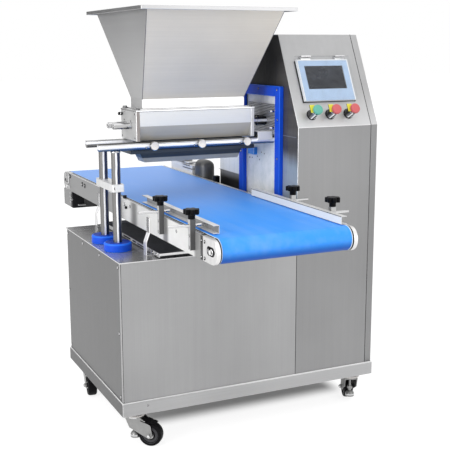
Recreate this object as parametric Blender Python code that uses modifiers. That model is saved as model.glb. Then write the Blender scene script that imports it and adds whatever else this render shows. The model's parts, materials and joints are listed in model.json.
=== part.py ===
"""Dough depositor: a hopper and roller pump that rise and fall over a belt conveyor.

The machine stands on four casters. A low cabinet carries the conveyor, and a tall
column at the right carries the controls and the carriage of the lifting head.
Metres, +X to the operator's right, +Y away from the operator, +Z up. The origin is
on the floor, in the middle of the machine's outline.
"""

import math

import bmesh
import bpy
from mathutils import Matrix, Vector

# General sizes
sheet = 0.0015
fit_gap = 0.0003
overrun = 0.010
weld = 0.00001

# Base and cabinet
base_depth = 0.600
base_height = 0.042
base_wall = 0.002
ground_clearance = 0.112
panel_inset = 0.004
cabinet_width = 0.600
column_width = 0.300
cabinet_height = 0.442
cabinet_top_thickness = 0.003
mount_plate_side = 0.110
mount_plate_thickness = 0.004

# Column
knee_height = 0.816
control_face_rise = 0.289
control_face_run = 0.141
cover_flange = 0.024
flange_seam = 0.001

# Casters, with a levelling foot on the swivel axis of each
wheel_radius = 0.0375
wheel_width = 0.032
wheel_tread_edge = 0.004
wheel_hub_radius = 0.012
wheel_hub_proud = 0.001
caster_trail = 0.052
caster_inset = 0.055
caster_inset_y = 0.050
swivel_ring_radius = 0.028
swivel_ring_height = 0.008
swivel_race_radius = 0.024
swivel_race_height = 0.009
fork_top_thickness = 0.004
fork_plate = 0.0025
fork_side_gap = 0.002
fork_heel = 0.026
fork_toe = 0.024
fork_lip = 0.056
fork_lip_drop = 0.042
fork_neck_drop = 0.052
fork_neck_back = 0.012
fork_boss = 0.010
axle_radius = 0.004
axle_nut_radius = 0.007
axle_nut_width = 0.005
foot_stem_radius = 0.005
foot_nut_radius = 0.009
foot_nut_height = 0.010
foot_pad_radius = 0.0150
foot_pad_height = 0.006
foot_lift = 0.023

# The way each caster happens to trail, in degrees from +X
front_left_heading = -38
front_right_heading = 68
rear_left_heading = -99
rear_right_heading = 90

# Conveyor
conveyor_length = 1.493
conveyor_front_overhang = 0.437
conveyor_left_inset = 0.119
conveyor_width = 0.423
channel_height = 0.069
channel_flange = 0.0155
channel_wall = 0.002
channel_lift = 0.071
belt_width = 0.390
belt_thickness = 0.002
belt_above_channel = 0.001
belt_running_gap = 0.0005
end_block_length = 0.107
rear_block_shown = 0.066
end_block_width = 0.012
tension_slot_length = 0.034
belt_end_clearance = 0.004
roller_end_gap = 0.003
belt_shaft_radius = 0.006
shaft_clearance = 0.0004
bed_thickness = 0.003
bed_margin = 0.045
drive_cover_length = 0.128
drive_cover_drop = 0.064
gearmotor_from_front = 0.635
gearmotor_size = (0.060, 0.090, 0.177)
gearmotor_above_channel = 0.061
gearmotor_edge = 0.004

# Conveyor brackets
bracket_places = (0.067, 0.580)
bracket_width = 0.025
bracket_plate = 0.0025
bracket_grip = 0.047
bracket_jog_out = 0.011
bracket_jog_drop = 0.029
bracket_foot = 0.040

# Crumb tray under the conveyor
tray_front_inset = 0.002
tray_depth = 0.555
tray_side_gap = 0.009
tray_rim = 0.013
tray_lift = 0.0035

# Product guides on the conveyor
guide_post_side = 0.015
guide_post_height = 0.084
guide_post_above_channel = 0.034
guide_post_places = (-0.289, -0.056)
guide_rod_radius = 0.004
guide_rod_above_channel = 0.017
left_rod_reach = 0.076
right_rod_reach = 0.061
left_rail_start = -0.362
left_rail_length = 0.549
right_rail_start = -0.3955
right_rail_length = 0.557
rail_height = 0.0225
rail_depth = 0.018
rail_above_belt = 0.0025
left_rail_inset = 0.041
right_rail_inset = 0.029
star_knob_radius = 0.021
star_knob_lobe = 0.002
star_knob_disc = 0.0145
star_knob_hub_radius = 0.010
star_knob_hub_height = 0.013
star_knob_stud_radius = 0.003
star_knob_stud_length = 0.008
star_knob_lobes = 7
star_knob_lobe_points = 6

# Lifting head: bars, posts and carriage
head_mid_from_front = 0.242
bar_spacing = 0.130
bar_radius = 0.0125
bar_above_belt = 0.182
bar_left_inset = 0.0005
post_radius = 0.014
post_inset = 0.055
post_length = 0.650
tie_block_size = (0.037, 0.177, 0.024)
tie_block_below_bar = 0.137
tie_block_corner = 0.003
seal_disc_radius = 0.044
seal_disc_height = 0.026
seal_disc_edge = 0.003
saddle_length = 0.054
saddle_width = 0.030
saddle_rise = 0.015
seal_frame_width = 0.300
seal_frame_mid_from_front = 0.252
seal_frame_above_bar = 0.176
seal_frame_band = 0.033
seal_frame_depth = 0.015
seal_frame_corner = 0.006
carriage_plate_thickness = 0.003
carriage_overlap = 0.017
carriage_wall_gap = 0.001
lift_down = 0.060
lift_up = 0.015
lift_overlap = 0.008
stop_block_size = (0.014, 0.045, 0.025)
stop_block_from_front = 0.315
stop_block_below_bar = 0.063

# Actuator of the lift, inside the column
actuator_rod_radius = 0.008
actuator_rod_length = 0.300
actuator_tube_radius = 0.017
actuator_bore_clearance = 0.0005
actuator_tube_length = 0.385
actuator_bore_depth = 0.340
actuator_motor_size = (0.090, 0.080, 0.145)
actuator_motor_offset = 0.013
lug_size = (0.030, 0.030, 0.030)

# Roller pump
head_mid_x_from_left = 0.325
head_length = 0.406
head_depth = 0.148
head_height = 0.092
head_above_bar = 0.0016
head_knee_drop = 0.046
head_slant = 0.022
head_flange_thickness = 0.004
head_flange_overhang = 0.002
end_plate_thickness = 0.012
feed_roller_radius = 0.0245
feed_roller_spacing = 0.052
feed_roller_rise = 0.0459
feed_roller_flutes = 12
feed_roller_flute_depth = 0.003
feed_roller_clearance = 0.0006
feed_shaft_radius = 0.010
feed_shaft_left_reach = 0.061
feed_shaft_slot = 0.004
feed_shaft_slot_depth = 0.010
coupling_radius = 0.015
coupling_length = 0.034
drive_plate_thickness = 0.010
drive_plate_depth = 0.199
drive_plate_height = 0.100
drive_plate_above_bar = 0.017
drive_neck_radius = 0.034
gearbox_side = 0.120
gearbox_depth = 0.085
feed_motor_radius = 0.050
feed_motor_length = 0.125
locating_pin_radius = 0.004
locating_pin_length = 0.018
locating_pin_drop = 0.023
locating_pin_inset = 0.008

# Hopper
hopper_neck = (0.349, 0.105)
hopper_neck_height = 0.032
hopper_mouth = (0.446, 0.484)
hopper_wall_height = 0.2746
hopper_lip = 0.026
hopper_lip_fold = 0.011
hopper_wall = 0.002
hopper_foot = 0.012
hopper_foot_thickness = 0.003

# Nozzle manifold under the head
nozzle_plate_length = 0.430
nozzle_plate_depth = 0.100
nozzle_plate_thickness = 0.012
nozzle_plate_below_bar = 0.003
nozzle_throat_length = 0.350
nozzle_throat_depth = 0.080
manifold_top_length = 0.356
manifold_bottom_length = 0.326
manifold_depth = 0.060
manifold_height = 0.030
dough_slot_depth = 0.020
dough_slot_length = 0.300

# Clamp knobs on the front bar
clamp_knob_places = (0.174, 0.334, 0.494)
clamp_knob_radius = 0.014
clamp_knob_thickness = 0.013
clamp_knob_edge = 0.0015
clamp_knob_standoff = 0.004
clamp_stud_radius = 0.004

# Controls
screen_left = 0.039
screen_size = (0.190, 0.142)
screen_rise = 0.085
screen_depth = 0.012
glass_left = 0.064
glass_size = (0.139, 0.077)
glass_rise = 0.126
glass_recess = 0.004
glass_thickness = 0.003
cover_margin = 0.006
cover_top_margin = 0.010
cover_sheet = 0.003
cover_clear = 0.002
hinge_width = 0.036
hinge_places = (0.056, 0.183)
hinge_height = 0.014
hinge_radius = 0.003
hinge_leaf_overlap = 0.002
button_places = (0.057, 0.1255, 0.194)
button_rise = 0.041
button_head_radius = 0.0165
button_head_height = 0.012
button_head_edge = 0.003
button_stem_radius = 0.008
button_stem_inside = 0.014
button_head_lift = 0.044
button_collar_radius = 0.0155
button_collar_height = 0.034
button_clearance = 0.0008

# Faces of the main boxes, in the machine's frame
base_width = cabinet_width + column_width
left = -base_width / 2
right = base_width / 2
front = -conveyor_length / 2 + conveyor_front_overhang
rear = front + base_depth
base_top = ground_clearance + base_height
cabinet_top = base_top + cabinet_height
column_left = left + cabinet_width
panel_left = left + panel_inset
panel_right = right - panel_inset
panel_front = front + panel_inset
panel_rear = rear - panel_inset
knee_z = base_top + knee_height
column_top = knee_z + control_face_rise
slope_top_y = panel_front + control_face_run

channel_bottom = cabinet_top + channel_lift
channel_top = channel_bottom + channel_height
conveyor_left = left + conveyor_left_inset
conveyor_right = conveyor_left + conveyor_width
conveyor_mid = (conveyor_left + conveyor_right) / 2
conveyor_front = -conveyor_length / 2
conveyor_rear = conveyor_length / 2
belt_top = channel_top + belt_above_channel
belt_radius = channel_height / 2
belt_axis_z = belt_top - belt_radius
belt_axis_inset = belt_end_clearance + belt_radius

head_mid_x = left + head_mid_x_from_left
head_mid_y = front + head_mid_from_front
post_x = left + post_inset
bar_height = belt_top + bar_above_belt
head_base = bar_height + bar_radius + head_above_bar
head_top = head_base + head_height
feed_roller_height = head_base + feed_roller_rise
seal_frame_top = bar_height + seal_frame_above_bar
carriage_face = column_left + sheet + carriage_wall_gap
lift_bars = (("front", head_mid_y - bar_spacing / 2), ("rear", head_mid_y + bar_spacing / 2))

# Looks: colour, roughness, metallic
looks = {
    "brushed_steel": ((0.56, 0.56, 0.56), 0.34, 1.0),
    "polished_steel": ((0.68, 0.68, 0.69), 0.12, 1.0),
    "aluminium": ((0.78, 0.79, 0.80), 0.38, 1.0),
    "zinc": ((0.60, 0.61, 0.60), 0.42, 1.0),
    "dark_steel": ((0.22, 0.23, 0.24), 0.40, 1.0),
    "belt_blue": ((0.10, 0.36, 0.85), 0.45, 0.0),
    "seal_blue": ((0.02, 0.12, 0.70), 0.35, 0.0),
    "black_plastic": ((0.015, 0.015, 0.016), 0.35, 0.0),
    "tyre_black": ((0.02, 0.02, 0.022), 0.60, 0.0),
    "motor_grey": ((0.10, 0.10, 0.10), 0.55, 0.0),
    "bezel_blue": ((0.62, 0.70, 0.80), 0.40, 0.0),
    "screen_dark": ((0.16, 0.18, 0.20), 0.15, 0.0),
    "clear_cover": ((0.90, 0.94, 0.96), 0.08, 0.0),
    "button_green": ((0.02, 0.45, 0.30), 0.30, 0.0),
    "button_red": ((0.80, 0.12, 0.08), 0.30, 0.0),
}

round_sides = 32
small_sides = 20
nut_sides = 6
arc_steps = 12
corner_steps = 6
round_corner_steps = 4
sharp_angle = 35


def clear_scene():
    for item in list(bpy.data.objects):
        bpy.data.objects.remove(item, do_unlink=True)


def new_group(name, is_helper):
    group = bpy.data.collections.new(name)
    group.hide_render = is_helper
    bpy.context.scene.collection.children.link(group)
    return group


clear_scene()
parts = new_group("dough_depositor", False)
cutters = new_group("cutters", True)


def coat(piece, look):
    """Gives the piece its own material."""
    color, roughness, metallic = looks[look]
    finish = bpy.data.materials.new(piece.name + "_finish")
    finish.use_nodes = True
    shader = finish.node_tree.nodes["Principled BSDF"]
    shader.inputs["Base Color"].default_value = (*color, 1)
    shader.inputs["Roughness"].default_value = roughness
    shader.inputs["Metallic"].default_value = metallic
    finish.diffuse_color = (*color, 1)
    piece.data.materials.clear()
    piece.data.materials.append(finish)


def smooth_sides(mesh):
    mesh.shade_smooth()
    mesh.set_sharp_from_angle(angle=math.radians(sharp_angle))


def new_piece(name, look, shape, origin=(0, 0, 0), turn=None):
    """Makes an object of a bmesh in world places, with its origin where it is told."""
    place = Matrix.Translation(Vector(origin)) @ (turn.to_4x4() if turn else Matrix())
    bmesh.ops.transform(shape, matrix=place.inverted(), verts=shape.verts)
    bmesh.ops.recalc_face_normals(shape, faces=shape.faces)
    mesh = bpy.data.meshes.new(name)
    shape.to_mesh(mesh)
    shape.free()
    smooth_sides(mesh)
    piece = bpy.data.objects.new(name, mesh)
    piece.matrix_world = place
    parts.objects.link(piece)
    coat(piece, look)
    return piece


def add_box(shape, low, high, frame=None):
    low, high = Vector(low), Vector(high)
    size = Matrix.Diagonal((*(high - low), 1))
    place = (frame or Matrix()) @ Matrix.Translation((low + high) / 2) @ size
    bmesh.ops.create_cube(shape, size=1, matrix=place)
    return shape


def add_rod(shape, start, end, radius, sides=small_sides, frame=None):
    start, end = Vector(start), Vector(end)
    along = end - start
    turn = along.to_track_quat("Z", "Y").to_matrix().to_4x4()
    place = (frame or Matrix()) @ Matrix.Translation((start + end) / 2) @ turn
    bmesh.ops.create_cone(
        shape,
        cap_ends=True,
        segments=sides,
        radius1=radius,
        radius2=radius,
        depth=along.length,
        matrix=place,
    )
    return shape


def box(low, high, frame=None):
    return add_box(bmesh.new(), low, high, frame)


def rod(start, end, radius, sides=small_sides, frame=None):
    return add_rod(bmesh.new(), start, end, radius, sides, frame)


def use_tool(target, tool, operation):
    """Cuts the tool from the target, or joins it on, and keeps the tool as a helper."""
    if isinstance(tool, bmesh.types.BMesh):
        tool = new_piece(target.name + "_tool", "dark_steel", tool)
    parts.objects.unlink(tool)
    cutters.objects.link(tool)
    tool.hide_render = True
    tool.display_type = "WIRE"
    change = target.modifiers.new(tool.name, "BOOLEAN")
    change.operation = operation
    change.object = tool
    change.solver = "EXACT"


def cut(target, *tools):
    for tool in tools:
        use_tool(target, tool, "DIFFERENCE")


def join(target, *tools):
    for tool in tools:
        use_tool(target, tool, "UNION")


planes = {
    "XY": Matrix.Identity(3),
    "YZ": Matrix(((0, 0, 1), (1, 0, 0), (0, 1, 0))),
    "XZ": Matrix(((1, 0, 0), (0, 0, -1), (0, 1, 0))),
}


def plate(name, look, plane, outlines, low, high, origin=(0, 0, 0), frame=None):
    """A flat outline and its holes, made thick from low to high along the plane's normal."""
    flat = bpy.data.curves.new(name, "CURVE")
    flat.dimensions = "2D"
    flat.fill_mode = "BOTH"
    flat.extrude = (high - low) / 2
    for outline in outlines:
        spline = flat.splines.new("POLY")
        spline.points.add(len(outline) - 1)
        for point, (across, up) in zip(spline.points, outline):
            point.co = (across, up, 0, 1)
        spline.use_cyclic_u = True
    guide = bpy.data.objects.new(name + "_outline", flat)
    turn = planes[plane].to_4x4()
    middle = turn @ Matrix.Translation((0, 0, (low + high) / 2))
    guide.matrix_world = (frame or Matrix()) @ middle
    parts.objects.link(guide)
    bpy.context.view_layer.update()
    graph = bpy.context.evaluated_depsgraph_get()
    mesh = bpy.data.meshes.new_from_object(guide.evaluated_get(graph))
    shape = bmesh.new()
    shape.from_mesh(mesh)
    bmesh.ops.transform(shape, matrix=guide.matrix_world, verts=shape.verts)
    bmesh.ops.remove_doubles(shape, verts=shape.verts, dist=weld)
    bpy.data.objects.remove(guide)
    bpy.data.meshes.remove(mesh)
    return new_piece(name, look, shape, origin)


def rectangle(low, high):
    return [(low[0], low[1]), (high[0], low[1]), (high[0], high[1]), (low[0], high[1])]


def arc(middle, radius, start, end, steps):
    """Points on an arc from one angle to another, in degrees."""
    turns = [math.radians(start + (end - start) * step / steps) for step in range(steps + 1)]
    return [(middle[0] + radius * math.cos(turn), middle[1] + radius * math.sin(turn)) for turn in turns]


def circle(middle, radius, sides=small_sides):
    return arc(middle, radius, 0, 360, sides)[:-1]


def rounded_rectangle(low, high, radius):
    corners = (
        ((high[0] - radius, high[1] - radius), 0),
        ((low[0] + radius, high[1] - radius), 90),
        ((low[0] + radius, low[1] + radius), 180),
        ((high[0] - radius, low[1] + radius), 270),
    )
    points = []
    for middle, start in corners:
        points += arc(middle, radius, start, start + 90, round_corner_steps)
    return points


def thickened(path, thickness):
    """The closed outline of a bent sheet: its outer line, and back along the line to its left."""
    line = [Vector(point) for point in path]
    inner = []
    for index, point in enumerate(line):
        before = (point - line[index - 1]).normalized() if index else None
        after = (line[index + 1] - point).normalized() if index + 1 < len(line) else None
        before = before or after
        after = after or before
        normal_before = Vector((-before.y, before.x))
        normal_after = Vector((-after.y, after.x))
        across = (normal_before + normal_after).normalized()
        inner.append(point + across * thickness / across.dot(normal_before))
    return [tuple(point) for point in line] + [tuple(point) for point in reversed(inner)]


def mirrored(path, middle):
    return [(2 * middle - across, up) for across, up in reversed(path)]


def turned(name, look, profile, origin, turn=None, sides=round_sides):
    """A profile of (radius, height) points, listed from the top down its outer side, spun round Z."""
    mesh = bpy.data.meshes.new(name)
    points = [(radius, 0, height) for radius, height in profile]
    closed = profile[0][0] > 0
    edges = [(index, index + 1) for index in range(len(points) - 1)]
    if closed:
        edges.append((len(points) - 1, 0))
    mesh.from_pydata(points, edges, [])
    piece = bpy.data.objects.new(name, mesh)
    piece.matrix_world = Matrix.Translation(Vector(origin)) @ (turn.to_4x4() if turn else Matrix())
    parts.objects.link(piece)
    spin = piece.modifiers.new("spin", "SCREW")
    spin.steps = sides
    spin.render_steps = sides
    spin.use_merge_vertices = True
    spin.merge_threshold = weld
    spin.use_smooth_shade = False
    coat(piece, look)
    return piece


def baked(piece):
    """Replaces the piece's mesh by its evaluated one, so that copies can share it."""
    bpy.context.view_layer.update()
    graph = bpy.context.evaluated_depsgraph_get()
    mesh = bpy.data.meshes.new_from_object(piece.evaluated_get(graph))
    mesh.name = piece.name
    piece.modifiers.clear()
    piece.data = mesh
    smooth_sides(mesh)
    return piece


def copied(piece, name, place):
    """A copy that shares the mesh, at another place."""
    twin = bpy.data.objects.new(name, piece.data)
    twin.matrix_world = place
    parts.objects.link(twin)
    return twin


def along_x():
    """A turn that lays a turned piece's axis along +X."""
    return Matrix.Rotation(math.radians(90), 3, "Y")


def along_y():
    """A turn that lays a turned piece's axis along +Y."""
    return Matrix.Rotation(math.radians(-90), 3, "X")


# The sloping control face, from the column's left edge: X is the machine's own, Y runs up
# the slope and Z stands out of it
slope_length = math.hypot(control_face_run, control_face_rise)
slope_up = Vector((0, control_face_run, control_face_rise)) / slope_length
slope_out = Vector((0, -control_face_rise, control_face_run)) / slope_length
control_turn = Matrix((Vector((1, 0, 0)), slope_up, slope_out)).transposed()
control_face = Matrix.Translation((column_left, panel_front, knee_z)) @ control_turn.to_4x4()


def make_base_frame():
    """An inverted sheet pan with a mounting plate for a caster in each corner."""
    low, high = (left, front, ground_clearance), (right, rear, base_top)
    frame = new_piece("base_frame", "brushed_steel", box(low, high))
    inside_low = (left + base_wall, front + base_wall, ground_clearance - overrun)
    inside_high = (right - base_wall, rear - base_wall, base_top - base_wall)
    cut(frame, box(inside_low, inside_high))
    seat = base_wall / 2
    for side_x in (left + seat, right - seat - mount_plate_side):
        for side_y in (front + seat, rear - seat - mount_plate_side):
            corner = (side_x, side_y, ground_clearance)
            size = (mount_plate_side, mount_plate_side, mount_plate_thickness)
            far = tuple(start + side for start, side in zip(corner, size))
            join(frame, box(corner, far))


def make_cabinet():
    underside = cabinet_top - cabinet_top_thickness
    holes = [circle((post_x, bar_y), post_radius + 2 * fit_gap) for _, bar_y in lift_bars]
    top_outline = rectangle((left, front), (column_left - fit_gap, rear))
    plate("cabinet_top", "polished_steel", "XY", [top_outline, *holes], underside, cabinet_top)

    panel_low, panel_high = base_top + fit_gap, underside - fit_gap
    inner_left = panel_left + sheet + fit_gap
    front_outline = rectangle((inner_left, panel_low), (column_left - fit_gap, panel_high))
    plate("cabinet_front_panel", "brushed_steel", "XZ", [front_outline], -panel_front - sheet, -panel_front)

    side_outline = rectangle((panel_front, panel_low), (panel_rear - sheet - fit_gap, panel_high))
    plate("cabinet_left_panel", "brushed_steel", "YZ", [side_outline], panel_left, panel_left + sheet)


def column_path():
    """The bent line of the column's front, control face and top, seen from the left."""
    return [
        (panel_front, base_top + fit_gap),
        (panel_front, knee_z),
        (slope_top_y, column_top),
        (panel_rear, column_top),
    ]


def column_side(inset):
    """The column's side outline, drawn in by the sheet that wraps it."""
    inner = thickened(column_path(), -inset)[4:]
    inner.reverse()
    rear_edge = panel_rear - sheet - fit_gap
    top = column_top - inset
    return [*inner[:3], (rear_edge, top), (rear_edge, base_top + fit_gap)]


def make_column():
    seam = panel_right - cover_flange - flange_seam
    wrap = thickened(column_path(), -sheet)
    skin = plate("column_front_panel", "brushed_steel", "YZ", [wrap], column_left, seam)
    for place in button_places:
        socket = (place, button_rise, button_collar_height)
        root = (place, button_rise, -sheet / 2)
        join(skin, rod(root, socket, button_collar_radius, round_sides, control_face))
    for place in button_places:
        above = (place, button_rise, button_collar_height + overrun)
        below = (place, button_rise, -overrun)
        cut(skin, rod(below, above, button_stem_radius + button_clearance, small_sides, control_face))

    window_front = seal_frame_front() + seal_frame_band
    window_rear = seal_frame_front() + seal_frame_width - seal_frame_band
    window = rectangle((window_front, window_bottom()), (window_rear, window_top()))
    wall_outline = column_side(sheet + fit_gap)
    wall_outlines = [wall_outline, window]
    plate("column_left_wall", "brushed_steel", "YZ", wall_outlines, column_left, column_left + sheet)

    cover_outline = column_side(0)
    cover_outline[3] = (panel_rear, column_top)
    cover_outline[4] = (panel_rear, base_top + fit_gap)
    cover_inside = panel_right - sheet
    cover = plate("column_right_cover", "brushed_steel", "YZ", [cover_outline], cover_inside, panel_right)
    flange_left = panel_right - cover_flange
    join(cover, plate("cover_flange", "brushed_steel", "YZ", [wrap], flange_left, panel_right - sheet / 2))

    cover_right = panel_right - sheet - fit_gap
    low = base_top + fit_gap
    cabinet_high = cabinet_top - cabinet_top_thickness - fit_gap
    column_high = column_top - sheet - fit_gap
    l_outline = [
        (panel_left, low),
        (cover_right, low),
        (cover_right, column_high),
        (column_left, column_high),
        (column_left, cabinet_high),
        (panel_left, cabinet_high),
    ]
    plate("rear_cover", "brushed_steel", "XZ", [l_outline], -panel_rear, sheet - panel_rear)


def seal_frame_front():
    return front + seal_frame_mid_from_front - seal_frame_width / 2


def window_top():
    return seal_frame_top - seal_frame_band


def window_bottom():
    return cabinet_top + fit_gap + seal_frame_band


def make_lift_seals():
    """The blue frame round the carriage window, and the blue wiper discs round the posts."""
    low = (seal_frame_front(), cabinet_top + fit_gap)
    high = (seal_frame_front() + seal_frame_width, seal_frame_top)
    inner_low = (low[0] + seal_frame_band, window_bottom())
    inner_high = (high[0] - seal_frame_band, window_top())
    outlines = [rounded_rectangle(low, high, seal_frame_corner), rectangle(inner_low, inner_high)]
    face = column_left - seal_frame_depth
    plate("lift_seal_frame", "seal_blue", "YZ", outlines, face, column_left - fit_gap)

    bore = post_radius + fit_gap
    rim = seal_disc_radius - seal_disc_edge
    shoulder = seal_disc_height - seal_disc_edge
    profile = [(bore, seal_disc_height), (rim, seal_disc_height), (seal_disc_radius, shoulder)]
    profile += [(seal_disc_radius, 0), (bore, 0)]
    for which, bar_y in lift_bars:
        turned(which + "_post_seal", "seal_blue", profile, (post_x, bar_y, cabinet_top + fit_gap))


def make_lift_frame():
    """Two cross bars on two posts at the left, and on the carriage plate at the right."""
    bar_start = left + bar_left_inset
    bar_end = carriage_face - fit_gap
    knob_holes = []
    for which, bar_y in lift_bars:
        start, end = (bar_start, bar_y, bar_height), (bar_end, bar_y, bar_height)
        bar = new_piece(which + "_bar", "polished_steel", rod(start, end, bar_radius, round_sides))
        if which == "front":
            saddle_end = bar_end - drive_plate_thickness - fit_gap
            low = (saddle_end - saddle_length, bar_y - saddle_width / 2, bar_height)
            high = (saddle_end, bar_y + saddle_width / 2, head_base + saddle_rise)
            join(bar, box(low, high))
            for place in clamp_knob_places:
                ahead = (left + place, bar_y - overrun - bar_radius, bar_height)
                behind = (left + place, bar_y + overrun + bar_radius, bar_height)
                knob_holes.append(rod(ahead, behind, clamp_stud_radius + fit_gap))
            cut(bar, *knob_holes)
        post_top = bar_height - bar_radius - fit_gap
        top, foot = (post_x, bar_y, post_top), (post_x, bar_y, post_top - post_length)
        new_piece(which + "_post", "polished_steel", rod(foot, top, post_radius, round_sides))

    foot_z = bar_height - tie_block_below_bar
    middle = Vector((post_x, head_mid_y, foot_z + tie_block_size[2] / 2))
    half = Vector(tie_block_size) / 2
    holes = [circle((post_x, bar_y), post_radius + fit_gap, round_sides) for _, bar_y in lift_bars]
    outline = rounded_rectangle(tuple((middle - half).xy), tuple((middle + half).xy), tie_block_corner)
    plate("post_tie_block", "aluminium", "XY", [outline, *holes], foot_z, middle.z + half.z)


def make_carriage():
    """The steel plate behind the blue frame, with its lift rod and a blue stop block."""
    plate_front = seal_frame_front() + seal_frame_band - carriage_overlap
    plate_rear = seal_frame_front() + seal_frame_width - seal_frame_band + carriage_overlap
    low = (plate_front, window_bottom() - lift_up - lift_overlap)
    high = (plate_rear, window_top() + lift_down + lift_overlap)
    neck_hole = circle((head_mid_y, feed_roller_height), drive_neck_radius + fit_gap, round_sides)
    back = carriage_face + carriage_plate_thickness
    outlines = [rectangle(low, high), neck_hole]
    carriage = plate("carriage_plate", "brushed_steel", "YZ", outlines, carriage_face, back)

    rod_x = actuator_x()
    middle_y = (plate_front + plate_rear) / 2
    lug_low = (back - carriage_plate_thickness / 2, middle_y - lug_size[1] / 2, low[1])
    lug_high = (back + lug_size[0], middle_y + lug_size[1] / 2, low[1] + lug_size[2])
    join(carriage, box(lug_low, lug_high))
    rod_top = (rod_x, middle_y, low[1] + lug_size[2] / 2)
    rod_foot = (rod_x, middle_y, low[1] - actuator_rod_length)
    join(carriage, rod(rod_foot, rod_top, actuator_rod_radius))

    block_front = front + stop_block_from_front - stop_block_size[1] / 2
    block_foot = bar_height - stop_block_below_bar
    block_low = (carriage_face - stop_block_size[0], block_front, block_foot)
    block_high = (
        carriage_face + carriage_plate_thickness / 2,
        block_front + stop_block_size[1],
        block_foot + stop_block_size[2],
    )
    join(carriage, box(block_low, block_high))
    return middle_y


def actuator_x():
    return carriage_face + carriage_plate_thickness + lug_size[0] / 2 + fit_gap


def make_lift_actuator(middle_y):
    """The tube that the lift rod slides in, with its motor beside it."""
    foot = base_top + fit_gap
    rod_x = actuator_x()
    tube_foot = (rod_x, middle_y, foot)
    tube_top = (rod_x, middle_y, foot + actuator_tube_length)
    tube_shape = rod(tube_foot, tube_top, actuator_tube_radius, round_sides)
    tube = new_piece("lift_actuator", "motor_grey", tube_shape)
    motor_low = (rod_x + actuator_motor_offset, middle_y - actuator_motor_size[1] / 2, foot + fit_gap)
    motor_high = tuple(low + size for low, size in zip(motor_low, actuator_motor_size))
    join(tube, box(motor_low, motor_high))
    bore_foot = (rod_x, middle_y, foot + actuator_tube_length - actuator_bore_depth)
    bore_top = (rod_x, middle_y, foot + actuator_tube_length + overrun)
    cut(tube, rod(bore_foot, bore_top, actuator_rod_radius + actuator_bore_clearance))


def head_profile():
    """The pump body seen from the left: straight above the knee, drawn in below it."""
    ahead, behind = head_mid_y - head_depth / 2, head_mid_y + head_depth / 2
    knee = head_top - head_knee_drop
    top = head_top + head_flange_thickness / 2
    return [
        (ahead, top),
        (ahead, knee),
        (ahead + head_slant, head_base),
        (behind - head_slant, head_base),
        (behind, knee),
        (behind, top),
    ]


def roller_places():
    return (
        ("front", head_mid_y - feed_roller_spacing / 2),
        ("rear", head_mid_y + feed_roller_spacing / 2),
    )


def make_head():
    head_left = head_mid_x - head_length / 2
    head_right = head_mid_x + head_length / 2
    body_left = head_left + end_plate_thickness + fit_gap
    body_right = head_right - end_plate_thickness - fit_gap
    body = plate("head_body", "brushed_steel", "YZ", [head_profile()], body_left, body_right)
    flange_half = head_depth / 2 + head_flange_overhang
    flange_low = (head_left, head_mid_y - flange_half, head_top)
    flange_high = (head_right, head_mid_y + flange_half, head_top + head_flange_thickness)
    join(body, box(flange_low, flange_high))
    for _, roller_y in roller_places():
        start = (body_left - overrun, roller_y, feed_roller_height)
        end = (body_right + overrun, roller_y, feed_roller_height)
        cut(body, rod(start, end, feed_roller_radius + feed_roller_clearance, round_sides))
    inlet_half = (hopper_neck[0] / 2 - hopper_wall, hopper_neck[1] / 2 - hopper_wall)
    inlet_low = (head_mid_x - inlet_half[0], head_mid_y - inlet_half[1], feed_roller_height)
    inlet_high = (head_mid_x + inlet_half[0], head_mid_y + inlet_half[1], head_top + overrun)
    cut(body, box(inlet_low, inlet_high))
    outlet_half = (dough_slot_length / 2, dough_slot_depth / 2)
    outlet_low = (head_mid_x - outlet_half[0], head_mid_y - outlet_half[1], head_base - overrun)
    nip_z = feed_roller_height + feed_roller_radius / 2
    outlet_high = (head_mid_x + outlet_half[0], head_mid_y + outlet_half[1], nip_z)
    cut(body, box(outlet_low, outlet_high))

    plate_low = (head_mid_y - head_depth / 2, head_base)
    plate_high = (head_mid_y + head_depth / 2, head_top - fit_gap)
    bores = [circle((y, feed_roller_height), feed_shaft_radius + 2 * fit_gap) for _, y in roller_places()]
    outlines = [rectangle(plate_low, plate_high), *bores]
    plate("left_end_plate", "aluminium", "YZ", outlines, head_left, head_left + end_plate_thickness)
    plate("right_end_plate", "aluminium", "YZ", outlines, head_right - end_plate_thickness, head_right)


def flute_points():
    """Rounded flutes round the roller, four points to a flute."""
    points = []
    depth_shares = (0, 0, 1, 1)
    count = feed_roller_flutes * len(depth_shares)
    for index in range(count):
        radius = feed_roller_radius - feed_roller_flute_depth * depth_shares[index % len(depth_shares)]
        turn = 2 * math.pi * index / count
        points.append((radius * math.cos(turn), radius * math.sin(turn)))
    return points


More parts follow.
